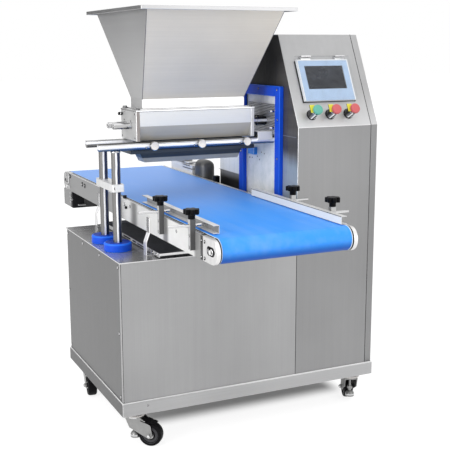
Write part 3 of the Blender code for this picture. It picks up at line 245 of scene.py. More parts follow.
def cast(name, tone, roughness, tint=(1, 1, 1), metallic=1.0, grain=260.0):
    """Aluminium and zinc: fine tumbled grain and cloudy tone."""
    finish = Finish(name, [tone * share for share in tint], roughness, metallic)
    sand = finish.noise(grain, 4.0, 0.65)
    cloud = finish.noise(22, 3.0)
    return finish.look(
        finish.shade(sand * 0.5 + cloud * 0.6, 0.7, 1.3),
        sand * 0.2 + cloud * 0.12 + roughness, sand, 0.16, 0.0003,
    )


def moulded(name, color, roughness, grain=500.0, depth=0.1, specular=0.5):
    """Plastic or rubber: fine moulded grain, handled patches and faint dust."""
    finish = Finish(name, color, roughness, Specular_IOR_Level=specular)
    grains = finish.noise(grain, 3.0)
    patch = finish.noise(28, 3.0, 0.6)
    return finish.look(
        finish.shade(grains * 0.2 + patch * 0.4, 0.75, 1.25),
        grains * 0.1 + patch * 0.25 + roughness, grains, depth, 0.0003,
    )


def make_channel_finish():
    """The conveyor's left side in painted reflections: grey at the rear, bright at the front, with three blurred dark
    bands, a painted reflection and the painted shadows beside the two guide posts.
    """
    finish = Finish("channel_face_painted_reflections", grey(0.4), 0.4, 0.2)
    length = finish.axis("Y")
    fine = finish.noise(grain_stretch["Y"], 2.0)
    cloud = finish.noise(9, 3.0)
    front = finish.ramp(length + cloud * 0.08, 0.06, -0.04)
    plain = finish.between(cloud * 0.8 + fine * 0.3, (0.19, 0.19, 0.192), (0.265, 0.265, 0.268))
    bright = finish.between(cloud * 1.2 + fine * 0.3, (0.56, 0.56, 0.55), (0.8, 0.8, 0.79))
    color = finish.blend(front, plain, bright)
    # Blurred dark bands: a painted reflection, then the painted shadows beside the two guide posts
    for low, high, soft, share in (
        (-0.132, -0.08, 0.022, 0.8), (-0.402, -0.366, 0.01, 0.85), (-0.65, -0.6, 0.01, 0.75),
    ):
        begun = finish.ramp(length + cloud * 0.02, low - soft, low + soft)
        inside = begun - finish.ramp(length, high - soft, high + soft)
        color = finish.blend(finish.clipped(inside * share), color, grey(0.11))
    return finish.look(color, fine * 0.12 + cloud * 0.1 + 0.4, fine, 0.05, 0.0002)


def make_belt_finish():
    """Blue conveyor belt: fine weave, lengthwise rub marks and a pale dusting of flour, with a painted sheen towards
    the rear and painted shade low down on the nose.
    """
    finish = Finish("belt_blue", (0.05, 0.335, 0.98), 0.45, Specular_IOR_Level=0.15)
    sockets = {"Vector": finish.place, "Scale": 320.0}
    weft, warp = (
        finish.node("ShaderNodeTexWave", {"wave_type": "BANDS", "bands_direction": way}, sockets) for way in ("Y", "X")
    )
    rub = finish.noise((45, 2.2, 45), 3.0)
    dust = finish.noise((7, 3, 7), 4.0, 0.6)
    # Paler towards the rear: a painted sheen
    backward = finish.ramp(finish.axis("Y"), -0.55, 0.6)
    far = finish.blend(finish.clipped(backward * 0.55), finish.color, (0.27, 0.46, 0.94))
    worn_and_sheen = finish.blend(finish.clipped(dust * 0.5 + rub * 0.35 + 0.06), far, (0.4, 0.56, 0.88))
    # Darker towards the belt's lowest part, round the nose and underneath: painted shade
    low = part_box("conveyor_belt")[0]
    under = finish.ramp(finish.axis("Z"), low[2] + 0.04, low[2] + 0.008)
    return finish.look(
        finish.blend(under, worn_and_sheen, (0.001, 0.085, 0.44)),
        dust * 0.2 + rub * 0.1 + 0.42, weft * warp + rub * 0.2, 0.1, 0.0002,
    )


def painted_reflection_bands(name, across, middle, radius, bands):
    """A round bright bar or post with long light and dark bands of painted reflection in its base colour.
    Across is the direction in which the bands follow one another, and a band is its near edge
    as a share of the radius, the width over which it comes in, and its colour."""
    first = bands[0][2]
    finish = Finish(name, first, 0.22, 0.35)
    sockets = {0: finish.place, 1: middle}
    offset = finish.node("ShaderNodeVectorMath", {"operation": "SUBTRACT"}, sockets)
    reach = finish.node("ShaderNodeVectorMath", {"operation": "DOT_PRODUCT"}, {0: offset, 1: across}, output=1)
    hair = finish.noise(500, 2.0)
    cloud = finish.noise(18, 3.0)
    place = reach * (1 / radius) + cloud * 0.25
    color = finish.blend(finish.clipped(hair * 0.4 + 0.4), first, [value * 1.15 for value in first])
    for edge, width, band in bands[1:]:
        color = finish.blend(finish.ramp(place, edge - width, edge + width), color, band)
    return finish.look(color, hair * 0.1 + cloud * 0.1 + 0.22, hair, 0.03, 0.0001)


def make_wall_finish():
    """The column's left wall in painted reflections: dark, layered tones above the fold line and paler ones below it,
    with a painted shadow low down towards the rear.
    """
    finish = Finish("wall_painted_reflections", (0.42, 0.42, 0.425), 0.3, 0.15)
    height, depth = finish.axis("Z"), finish.axis("Y")
    streak = finish.noise((30, 26, 1.2), 2.0)
    fine = finish.noise(grain_stretch["Z"], 2.0)
    upper = finish.ramp(height - depth * 0.15 + streak * 0.04, 0.868, 0.934)
    layer = finish.noise((1.6, 2.2, 26), 3.0, 0.6)
    # Above the fold: painted dark reflections in layers, near black towards the rear
    above = finish.blend(finish.clipped(layer * 1.3 + 0.45), (0.034, 0.031, 0.028), (0.135, 0.125, 0.115))
    above = finish.blend(finish.ramp(depth, -0.245, -0.1), above, grey(0.012))
    # Below the fold: painted reflections, bluish in front and pale further back
    inner = finish.ramp(depth, -0.16, 0.02)
    pale = finish.between(streak * 1.0, (0.92, 0.94, 0.94), grey(1.0))
    painted_blue_reflection = finish.between(layer * 1.2, (0.27, 0.33, 0.39), (0.42, 0.47, 0.52))
    below = finish.blend(inner, painted_blue_reflection, pale)
    # Low down towards the rear: a painted shadow, darkest at the foot
    foot = finish.ramp(height, 0.738, 0.7695)
    behind = finish.ramp(depth, 0.05, 0.07)
    shadow = finish.blend(foot, (0.015, 0.015, 0.016), (0.24, 0.235, 0.23))
    below = finish.blend(finish.ramp(height, 0.769, 0.77), finish.blend(behind, below, shadow), below)
    return finish.look(finish.blend(upper, below, above), fine * 0.15 + streak * 0.1 + 0.3, fine, 0.05, 0.0002)


def make_end_block_finish():
    """The belt's end blocks: pale cast aluminium, darker where they meet the side channels."""
    finish = cast("end_block_aluminium", 0.74, 0.45, (1.0, 0.995, 0.99))
    cloud = finish.noise((70, 70, 24), 3.0)
    pale = finish.shade(cloud * 0.6, 0.8, 1.25)
    dark = finish.between(cloud, grey(0.05), grey(0.16))
    finish.set("Base Color", finish.blend(finish.ramp(finish.axis("Y"), -0.656, -0.6568), dark, pale))
    return finish


def make_mottled_finish():
    """The carriage plate: pale steel, cloudy, with a slight blue cast."""
    finish = Finish("mottled_steel", (0.8, 0.84, 0.86), 0.45, 0.0)
    cloud = finish.noise(26, 5.0, 0.65)
    fleck = finish.noise(160, 3.0)
    rub = finish.noise((8, 60, 3), 2.0)
    share = finish.clipped(cloud * 2.2 + fleck * 0.5 + rub * 0.6 + 0.5)
    return finish.look(finish.blend(share, (0.76, 0.8, 0.8), grey(1.0)), cloud * 0.3 + 0.34, fleck, 0.08, 0.0002)


def make_machined_finish():
    """The drive plate: milled across, with wavy tool marks."""
    finish = Finish("milled_steel", (0.36, 0.36, 0.37), 0.34, 0.5)
    settings = {"wave_type": "BANDS", "bands_direction": "Z", "wave_profile": "SIN"}
    sockets = {"Vector": finish.place, "Scale": 62.0, "Distortion": 3.0, "Detail": 3.0, "Detail Scale": 0.6}
    mark = finish.node("ShaderNodeTexWave", settings, sockets)
    patch = finish.noise(20, 3.0)
    return finish.look(
        finish.blend(finish.clipped(mark * 0.8 + patch * 0.9), (0.16, 0.16, 0.17), (0.7, 0.7, 0.71)),
        mark * 0.15 + 0.22, mark, 0.25, 0.0004,
    )


def make_manifold_finish():
    """The dough manifold: dark steel, near black with a blue cast above a level line, paler grey along its foot."""
    finish = Finish("manifold_steel", (0.17, 0.19, 0.22), 0.4, 0.1, Specular_IOR_Level=0.2)
    band = finish.ramp(finish.axis("Z"), 0.8735, 0.8775)
    fine = finish.noise(grain_stretch["X"], 2.0)
    patch = finish.noise(9, 3.0)
    foot = finish.between(patch * 0.8, (0.27, 0.27, 0.265), (0.42, 0.42, 0.41))
    crown = finish.between(patch * 0.8, (0.012, 0.022, 0.04), (0.05, 0.068, 0.095))
    return finish.look(finish.blend(band, foot, crown), fine * 0.15 + patch * 0.15 + 0.3, fine, 0.05, 0.0002)


def make_glass_finish(name, color, roughness, alpha=1.0):
    """Screen glass or the clear cover: glossy, with faint finger marks."""
    finish = Finish(name, color, roughness, 0.0, Coat_Weight=0.04, Coat_Roughness=0.04, Specular_IOR_Level=0.38)
    marks = finish.noise(60, 4.0, 0.6)
    sweep = finish.noise(9, 2.0)
    finish.set("Base Color", finish.shade(sweep * 0.8 + marks * 0.2, 0.7, 1.3))
    finish.set("Roughness", finish.clipped(marks * 0.25 + roughness))
    if alpha < 1:
        finish.set("Alpha", finish.clipped(marks * 0.1 + sweep * 0.06 + alpha))
    return finish


# The cabinet front is painted lighter towards its top: painted light
cabinet_steel = brushed("cabinet_steel", 0.355, fade=(0.16, 0.6, 0.14))
# A darker copy of the cabinet steel for the left panel: painted shade
side_painted_shade = brushed("side_painted_shade", 0.129)
# The column steel is painted darker towards its top: painted shade
column_steel = brushed("column_steel", 0.258, fade=(0.35, 0.95, -0.16))
base_steel = brushed("base_steel", 0.405, "X")
# A darker copy of the base steel for its left faces: painted shade
base_side_painted_shade = brushed("base_side_painted_shade", 0.085, "Y")
# A lighter copy of the column steel for the sloped face, painted lighter towards its foot: painted light
slope_steel = brushed("slope_steel", 0.52, fade=(1.1, 0.97, 0.4))
# The bright finish of broken edges and of some top faces: a painted highlight
edge_painted_highlight = brushed("edge_painted_highlight", 0.86, "X", 0.3, metallic=0.8)
rim_steel = brushed("rim_steel", 0.45, "X", 0.3, metallic=0.8)
hopper_steel = brushed("hopper_steel", 0.665, "X", 0.55, 0.12, 0.5, 0.25, (1.03, 0.96, 0.85))
# A darker copy of the hopper steel for its sides, painted lighter towards the bottom: painted shade
hopper_side_painted_shade = brushed("hopper_side_painted_shade", 0.315, "Y", 0.55, metallic=0.25, fade=(1.33, 1.06, 0.42))
hopper_inside_steel = brushed("hopper_inside_steel", 0.52, "X", 0.45, 0.12, 0.5, 0.35)
# A darker copy of the neck steel for its sides: painted shade
neck_side_painted_shade = brushed("neck_side_painted_shade", 0.38, "Y", 0.5, metallic=0.25)
# A near-white copy of the steel for the neck's front and back: painted light
neck_steel = brushed("neck_steel", 0.92, "X", 0.3, 0.05, 0.1)
# The head's near-white steel: painted light
head_steel = brushed("head_steel", 1.0, "X", 0.55, 0.05, 0.1, 0.0, (1.0, 0.99, 0.94))
# A darker copy of the head steel for its lower faces that face down: painted shade
head_lower_painted_shade = brushed("head_lower_painted_shade", 0.43, "X", 0.5, metallic=0.3, tint=(1.05, 1.0, 0.91))
channel_steel = brushed("channel_steel", 0.26, "Y", 0.4)
pale_steel = brushed("pale_steel", 0.72, "Y", 0.32)
rail_steel = brushed("rail_steel", 0.84, "Y", 0.4, 0.05, 0.2, 0.2)
# A lighter, warmer copy of the rail steel for the right rail's inner face: painted light
rail_face_painted_light = brushed("rail_face_painted_light", 0.95, "Y", 0.5, 0.05, 0.2, 0.0, (1.18, 1.06, 0.82))
post_steel = brushed("post_steel", 0.46, "Z", 0.4, metallic=0.3)
square_steel = brushed("square_steel", 0.28, "Z", 0.4, metallic=0.3)
# A darker copy of the square steel for faces that face the front: painted shade
square_painted_shade = brushed("square_painted_shade", 0.1, "Z", 0.4, metallic=0.3)
channel_face_painted_reflections = make_channel_finish()
top_steel = brushed("top_steel", 0.5, "X", 0.26, 0.1, 0.4, 0.7)
# The bright finish of the cabinet top's front, the panel foot strip and the brackets' slanted faces: a painted
# highlight
ledge_painted_highlight = brushed("ledge_painted_highlight", 0.95, "X", 0.4, 0.05, 0.1, 0.2)
chrome = polished("chrome", 0.64, 0.08)
knob_face = cast("knob_face", 0.6, 0.3, (1.0, 0.96, 0.93), 0.5)
bright_chrome = polished("bright_chrome", 0.82, 0.12)
shaft_steel = polished("shaft_steel", 0.5, 0.12)
wall_painted_reflections = make_wall_finish()
mottled_steel = make_mottled_finish()
milled_steel = make_machined_finish()
manifold_steel = make_manifold_finish()
bronze = cast("bronze", 0.26, 0.4, (1.0, 0.9, 0.84), 0.4)
plate_aluminium = cast("plate_aluminium", 0.58, 0.4, metallic=0.5)
block_aluminium = cast("block_aluminium", 0.9, 0.45, (0.98, 0.99, 1.0))
saddle_aluminium = brushed("saddle_aluminium", 0.92, "X", 0.45, 0.05, 0.2, 0.0, (1.04, 1.0, 0.9))
end_block_aluminium = make_end_block_finish()
zinc = cast("zinc", 0.3, 0.36, (1, 1, 0.99), 0.7, 120.0)
weld_steel = cast("weld_steel", 0.2, 0.4, (1, 1, 1.02), 1.0, 300.0)
seam_black = moulded("seam_black", (0.01, 0.01, 0.012), 0.6, specular=0.2)
black_plastic = moulded("black_plastic", (0.003, 0.003, 0.004), 0.3, specular=0.08)
tray_black = moulded("tray_black", (0.12, 0.125, 0.145), 0.34, specular=0.25)
tyre_black = moulded("tyre_black", (0.003, 0.003, 0.004), 0.5, 300.0, 0.2, specular=0.1)
hub_black = moulded("hub_black", (0.045, 0.045, 0.05), 0.4, specular=0.25)
seal_blue = moulded("seal_blue", (0.003, 0.074, 0.66), 0.45, specular=0.22)
# A lighter copy of the seal blue for top faces and rounded rims: painted highlight
seal_blue_painted_highlight = moulded("seal_blue_painted_highlight", (0.012, 0.15, 0.95), 0.45, specular=0.3)
# A darker copy of the seal blue for the post seals' tops: painted shade
seal_top_painted_shade = moulded("seal_top_painted_shade", (0.001, 0.04, 0.4), 0.45, specular=0.15)
drive_steel = brushed("drive_steel", 0.24, "Y", 0.45, 0.1, 0.5, 0.3)
rear_block_steel = brushed("rear_block_steel", 0.38, "Z", 0.35, 0.3, 0.8, 0.4)
foot_zinc = cast("foot_zinc", 0.24, 0.34, (1, 1, 0.99), 0.7, 120.0)
block_blue = moulded("block_blue", (0.01, 0.26, 0.86), 0.38)
motor_grey = cast("motor_grey", 0.105, 0.4, (1, 1, 1), 0.6)
bezel_blue = moulded("bezel_blue", (0.42, 0.56, 0.76), 0.4)
bezel_white = moulded("bezel_white", (0.8, 0.86, 0.92), 0.4)
label_yellow = moulded("label_yellow", (0.95, 0.8, 0.07), 0.5)
button_green = moulded("button_green", (0.12, 0.43, 0.34), 0.35)
button_red = moulded("button_red", (0.6, 0.12, 0.125), 0.35)
belt_blue = make_belt_finish()
screen_glass = make_glass_finish("screen_glass", (0.01, 0.011, 0.016), 0.2)
belt_edge = moulded("belt_edge", (0.74, 0.82, 0.92), 0.5)
# Colours of the painted reflections and highlights on round bright parts
painted_reflection_grey, painted_highlight_white, painted_reflection_navy = (0.2, 0.195, 0.19), (0.95, 0.96, 1.0), (0.012, 0.022, 0.065)
painted_reflection_black = (0.012, 0.012, 0.013)
coupling_radius, collar_radius = 0.015, 0.0155
# The level direction along which the painted reflection bands of the posts and collars follow one another, fixed in
# the machine
seen_across = Vector((0.9075, -0.42, 0))
# The lift posts: painted reflection bands
post_painted_bands = [
    painted_reflection_bands(name, seen_across, (post_x, place, 0), post_radius, (
        (-1, 0, grey(0.075)), (-0.72, 0.14, painted_reflection_grey), (0.02, 0.05, painted_highlight_white), (0.4, 0.06, painted_reflection_navy),
        (0.86, 0.08, (0.16, 0.17, 0.2)),
    )) for name, place in zip(("front_post_painted_reflections", "rear_post_painted_reflections"), bar_places)
]
roller_low, roller_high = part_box("front_feed_roller")
roller_height = (roller_low[2] + roller_high[2]) / 2
# The roller couplings: painted reflection bands
coupling_painted_bands = painted_reflection_bands("coupling_painted_reflections", up, (0, 0, roller_height), coupling_radius, (
    (-1, 0, painted_reflection_black), (-0.15, 0.15, painted_highlight_white), (0.4, 0.12, painted_reflection_black),
))
# The bars: painted reflection bands; the front bar's low blue bands are a painted reflection of the belt
bar_painted_bands = [
    painted_reflection_bands(name, up, (0, 0, bar_height), bar_radius, bands) for name, bands in (
        ("front_bar_painted_reflections", (
            (-1, 0, (0.012, 0.05, 0.15)), (-0.78, 0.12, (0.07, 0.14, 0.28)), (-0.4, 0.1, painted_highlight_white),
            (0.4, 0.12, (0.5, 0.5, 0.51)), (0.66, 0.06, grey(0.06)),
        )),
        ("rear_bar_painted_reflections", (
            (-1, 0, grey(0.05)), (-0.62, 0.12, grey(0.17)), (-0.22, 0.06, (0.02, 0.02, 0.022)),
            (-0.06, 0.06, painted_highlight_white), (0.62, 0.1, grey(0.26)), (0.84, 0.06, grey(0.8)),
        )),
    )
]
clear_sheet = make_glass_finish("clear_sheet", (0.4, 0.44, 0.5), 0.1, 0.045)


class Shape:
    """A mesh in the making; each form added to it brings its own finish."""

    def __init__(self):
        self.form = bmesh.new()
        self.finishes = []

    def number(self, finish):
        if finish not in self.finishes:
            self.finishes.append(finish)
        return self.finishes.index(finish)

    def take(self, form, finish, place):
        """Adds a finished form, turned and moved by a matrix."""
        bmesh.ops.transform(form, matrix=place or Matrix(), verts=form.verts)
        bmesh.ops.recalc_face_normals(form, faces=form.faces)
        for face in form.faces:
            face.material_index = self.number(finish)
        carrier = bpy.data.meshes.new("carrier")
        form.to_mesh(carrier)
        form.free()
        self.form.from_mesh(carrier)
        bpy.data.meshes.remove(carrier)

    def box(self, finish, low, high, edge=0.0, place=None, steps=1):
        low, high = Vector(low), Vector(high)
        form = bmesh.new()
        sized = Matrix.Translation((low + high) / 2) @ Matrix.Diagonal((*(high - low), 1))
        bmesh.ops.create_cube(form, size=1, matrix=sized)
        if edge:
            eased(form, form.edges[:], edge, steps)
        self.take(form, finish, place)

    def rod(self, finish, start, end, radius, sides, edge=0.0):
        start, end = Vector(start), Vector(end)
        along = end - start
        form = bmesh.new()
        bmesh.ops.create_cone(
            form, cap_ends=True, segments=sides, radius1=radius, radius2=radius, depth=along.length
        )
        if edge:
            rims = [item for item in form.edges if abs(item.verts[0].co.z - item.verts[1].co.z) < 1e-6]
            eased(form, rims, edge, 1)
        turn = along.to_track_quat("Z", "Y").to_matrix().to_4x4()
        self.take(form, finish, Matrix.Translation((start + end) / 2) @ turn)

    def spun(self, finish, profile, foot, out, sides, place=None):
        """A profile of (radius, height) points spun round the axis that leaves foot along out."""
        form = bmesh.new()
        points = [form.verts.new((radius, 0, height)) for radius, height in profile]
        chain = [form.edges.new(pair) for pair in zip(points, points[1:])]
        bmesh.ops.spin(
            form, geom=points + chain, cent=(0, 0, 0), axis=(0, 0, 1), angle=2 * math.pi, steps=sides,
            use_merge=True, use_duplicate=False,
        )
        bmesh.ops.remove_doubles(form, verts=form.verts, dist=1e-6)
        turn = Vector(out).to_track_quat("Z", "Y").to_matrix().to_4x4()
        self.take(form, finish, (place or Matrix()) @ Matrix.Translation(foot) @ turn)

    def screw(self, finish, foot, out, radius, height):
        """A round-headed machine screw with a hexagon socket; the dark ring round its head and the dark socket are
        painted shade.
        """
        profile = [
            (0, height), (0.6 * radius, height), (0.88 * radius, 0.72 * height), (radius, 0.35 * height),
            (radius, -0.3 * height), (0, -0.3 * height),
        ]
        foot, out = Vector(foot), Vector(out)
        self.rod(seam_black, foot - out * 0.0006, foot + out * 0.0003, 1.42 * radius, 16)
        self.spun(finish, profile, foot, out, 14)
        self.rod(seam_black, foot + out * 0.5 * height, foot + out * height * 1.02, 0.42 * radius, 6)

    def bolt(self, finish, foot, out, radius, height):
        """A hexagon-headed bolt on its washer."""
        foot, out = Vector(foot), Vector(out)
        self.rod(finish, foot - out * 0.001, foot + out * 0.0012, 1.25 * radius, 20, 0.0003)
        self.rod(finish, foot, foot + out * (height + 0.0012), radius, 6, 0.0005)

    def hole(self, foot, out, radius):
        """A drilled hole: a dark disc, painted shade for its depth, with a bright countersunk ring."""
        foot, out = Vector(foot), Vector(out)
        self.rod(chrome, foot - out * 0.001, foot + out * 0.00012, 1.35 * radius, 16)
        self.rod(seam_black, foot - out * 0.001, foot + out * 0.00022, radius, 16)

    def done(self, name, body, stands_for=(), flat_angle=22):
        mesh = bpy.data.meshes.new(name)
        self.form.to_mesh(mesh)
        self.form.free()
        for finish in self.finishes:
            mesh.materials.append(finish.material)
        mesh.shade_smooth()
        mesh.set_sharp_from_angle(angle=math.radians(flat_angle))
        made = bpy.data.objects.new(name, mesh)
        bpy.context.scene.collection.objects.link(made)
        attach(made, body)
        if stands_for:
            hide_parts(*stands_for)


def eased(form, edges, width, steps):
    """Rounds or breaks edges, and gives back the faces that this makes."""
    made = bmesh.ops.bevel(
        form, geom=edges, offset=width, offset_type="OFFSET", segments=steps, profile=0.5,
        affect="EDGES", clamp_overlap=True, material=-1,
    )
    return made["faces"]


bodies = {node: name for name, nodes in frame["record"]["behaviour"]["bodies"].items() for node in nodes}


def dressed(node, finish, edge_finish, edge, areas=(), steps=1, corner=50):
    """Stands for a CAD solid: the same shape with its sharp edges broken, each area in its own finish.
    An area is a finish and a test on a face's middle, its spot, and the way that it faces."""
    shape = Shape()
    form = shape.form
    form.from_mesh(frame["nodes"][node].data)
    bmesh.ops.remove_doubles(form, verts=form.verts, dist=1e-5)
    bmesh.ops.dissolve_limit(
        form, angle_limit=math.radians(0.4), verts=form.verts, edges=form.edges, use_dissolve_boundaries=False
    )
    for face in form.faces:
        face.material_index = shape.number(finish)
        spot, way = face.calc_center_median(), face.normal
        for area_finish, inside in areas:
            if inside(spot, way):
                face.material_index = shape.number(area_finish)
    if edge:
        sharp = [
            item for item in form.edges
            if len(item.link_faces) == 2 and item.calc_face_angle(0) > math.radians(corner)
        ]
        broken = eased(form, sharp, edge, steps)
        if edge_finish:
            for face in broken:
                face.material_index = shape.number(edge_finish)
    shape.done(node + "_dressed", bodies[node], (node,))


def coated(node, finish):
    """Gives a CAD solid that stays as it is its finish."""
    materials = frame["nodes"][node].data.materials
    materials.clear()
    materials.append(finish.material)


def facing(out, share=0.9):
    return lambda spot, way: way.dot(out) > share


faces_left, faces_front, faces_up = facing(left_out), facing(front_out), facing(up)


def make_cabinet():
    # The base frame's left faces are darker, painted shade, and its top faces bright, painted highlight
    dressed("base_frame", base_steel, edge_painted_highlight, 0.0012, [(base_side_painted_shade, faces_left), (edge_painted_highlight, faces_up)])
    # The cabinet top's front faces are bright: a painted highlight
    dressed("cabinet_top", top_steel, ledge_painted_highlight, 0.0009, [(ledge_painted_highlight, faces_front)])
    dressed("cabinet_front_panel", cabinet_steel, edge_painted_highlight, 0.0004)
    dressed("cabinet_left_panel", side_painted_shade, edge_painted_highlight, 0.0004)
    dressed("rear_cover", column_steel, edge_painted_highlight, 0.0004)

    screws = Shape()
    for y in (-0.2835, -0.0995, 0.0895, 0.2755):
        screws.screw(chrome, (panel_left, y, 0.578), left_out, 0.0042, 0.0024)
    for y in (-0.2835, 0.2755):
        for z in (0.373, 0.17):
            screws.screw(chrome, (panel_left, y, z), left_out, 0.0042, 0.0024)
    screws.screw(shaft_steel, (-0.369, base_front, 0.139), front_out, 0.0022, 0.001)
    screws.done("cabinet_screws", "frame")

    # A thin bright strip along the foot of the front and left panels: a painted highlight
    ledge = Shape()
    foot, crest = base_top + 0.0002, base_top + 0.003
    ledge.box(ledge_painted_highlight, (-0.4497, base_front + 0.0003, foot), (0.4497, panel_front - 0.0003, crest), 0.0008)
    ledge.box(ledge_painted_highlight, (-0.4497, panel_front, foot), (panel_left - 0.0003, panel_front + 0.592, crest), 0.0008)
    ledge.done("panel_foot_painted_highlight", "frame")
    flange = Shape()
    turned = panel_front + 0.0125
    for finish, proud, start, end in (
        (cabinet_steel, 0.0004, panel_front + 0.0003, turned), (seam_black, 0.0002, turned, turned + 0.0022),
    ):
        flange.box(finish, (panel_left - proud, start, crest), (panel_left + 0.001, end, cabinet_top - 0.003))
    flange.done("front_panel_flange", "frame")

    seams = Shape()
    low, high = base_top + 0.0008, cabinet_top - 0.0036
    for left, right, proud, top in (
        (panel_left + 0.0008, panel_left + 0.0022, 0.0002, high), (0.1488, 0.1506, 0.0003, high),
        (0.4206, 0.4222, 0.0003, knee_z),
    ):
        seams.box(seam_black, (left, panel_front - proud, low), (right, panel_front + 0.001, top))
    seams.done("sheet_seams", "frame")


def control_place(point):
    """A point of the machine, in the control face's own axes."""
    return control_face.inverted() @ point


def collar_test(place):
    """Tells the faces of the button collar that stands at this place across the control face."""
    def on_collar(spot, way):
        spot = control_place(spot)
        return spot.z > 0.0005 and 0 < spot.y < 0.08 and abs(spot.x - place) < 0.02
    return on_collar


def make_column():
    across = (seen_across - slope_out * seen_across.dot(slope_out)).normalized()
    # The button collars: painted reflection bands
    bands = (
        (-1, 0, grey(0.03)), (-0.72, 0.12, grey(0.2)), (-0.4, 0.08, grey(0.95)),
        (-0.12, 0.06, grey(0.04)), (0.3, 0.08, grey(0.9)), (0.62, 0.1, grey(0.1)),
    )
    collars = []
    for number, place in enumerate(button_places):
        middle = control_face @ Vector((place, button_rise, 0.017))
        finish = painted_reflection_bands(f"collar_painted_reflections_{number + 1}", across, middle, collar_radius, bands)
        collars.append((finish, collar_test(place)))
    # The sloped face is a lighter copy of the column steel, painted light, and the upward faces are bright, painted
    # highlight
    areas = [(slope_steel, facing(slope_out, 0.95)), (edge_painted_highlight, faces_up)]
    dressed("column_front_panel", column_steel, edge_painted_highlight, 0.001, areas + collars, corner=25)
    dressed("column_right_cover", column_steel, edge_painted_highlight, 0.0008, areas)
    coated("column_left_wall", wall_painted_reflections)

    seams = Shape()
    slope_length = (Vector((slope_top_y, column_top)) - Vector((panel_front, knee_z))).length
    seams.box(seam_black, (0.2706, 0, -0.001), (0.2722, slope_length, 0.0003), place=control_face)
    seams.done("slope_seam", "frame")
    # Thin rods along the wall's folds: a darker line on the upper one, and a bright line, a painted highlight, on the
    # lower one
    fold = Shape()
    fold.rod(square_steel, (column_left, -0.205, 0.938), (column_left, panel_front + 0.012, 0.938), 0.001, 8)
    fold.rod(edge_painted_highlight, (column_left, 0.3, 0.7705), (column_left, 0.062, 0.7705), 0.0011, 8)
    fold.done("wall_fold", "frame")


def make_lift():
    # The seal frame's top faces and rounded edges are lighter: painted highlight
    dressed("lift_seal_frame", seal_blue, seal_blue_painted_highlight, 0.0012, [(seal_blue_painted_highlight, faces_up)])
    for which, finish in zip(("front", "rear"), post_painted_bands):
        # The post seals' tops are darker, painted shade, and their rounded rims lighter, painted highlight
        seal_top = [(seal_top_painted_shade, faces_up)]
        dressed(which + "_post_seal", seal_blue, seal_blue_painted_highlight, 0.002, seal_top, corner=30, steps=2)
        coated(which + "_post", finish)
    dressed("post_tie_block", block_aluminium, edge_painted_highlight, 0.0006)
    dressed("rear_bar", bar_painted_bands[1], None, 0.0022, steps=3)
    saddle = (saddle_aluminium, lambda spot, way: spot.x > 0.02 and (
        abs(spot.y - bar_places[0]) > 0.0126 or abs(spot.z - bar_height) > 0.0126
    ))
    dressed("front_bar", bar_painted_bands[0], None, 0.0012, [saddle])
    dressed("carriage_plate", mottled_steel, edge_painted_highlight, 0.0004, [
        (block_blue, lambda spot, way: spot.x < carriage_face - 0.0005),
        (shaft_steel, lambda spot, way: spot.x > carriage_face + 0.0035),
    ])

    screws = Shape()
    face = column_left - 0.015
    for y, z in (
        (-0.188, 1.083), (-0.0569, 1.083), (0.074, 1.083), (-0.193, 0.987), (-0.193, 0.86), (-0.193, 0.733),
        (0.076, 0.987), (0.076, 0.86),
    ):
        screws.screw(chrome, (face, y, z), left_out, 0.003, 0.0016)
    screws.done("seal_screws", "frame")

    fittings = Shape()
    for y, z in (
        (-0.0479, 0.8666), (-0.0695, 0.8641), (-0.0179, 0.8497), (0.0222, 0.8415), (-0.0339, 0.8404),
        (0.0402, 0.8406), (-0.1505, 0.8142),
    ):
        fittings.hole((carriage_face, y, z), left_out, 0.0022)
    fittings.hole((-0.4135, -0.1738, 0.7964), left_out, 0.0042)
    for x in (-0.2977, -0.1359, 0.024):
        fittings.screw(chrome, (x, -0.1438, 0.9134), Vector((0, -0.9, -0.44)), 0.0026, 0.0018)
    collar = [
        (post_radius + more, height) for more, height in (
            (0, -0.004), (0.0022, -0.0022), (0.0016, 0.0), (0, 0.001), (-0.003, 0.001), (-0.003, -0.004), (0, -0.004),
        )
    ]
    for y in bar_places:
        fittings.spun(chrome, collar, (post_x, y, bar_height - bar_radius - 0.0006), up, 28)
    fittings.done("lift_fittings", "lifting_head")


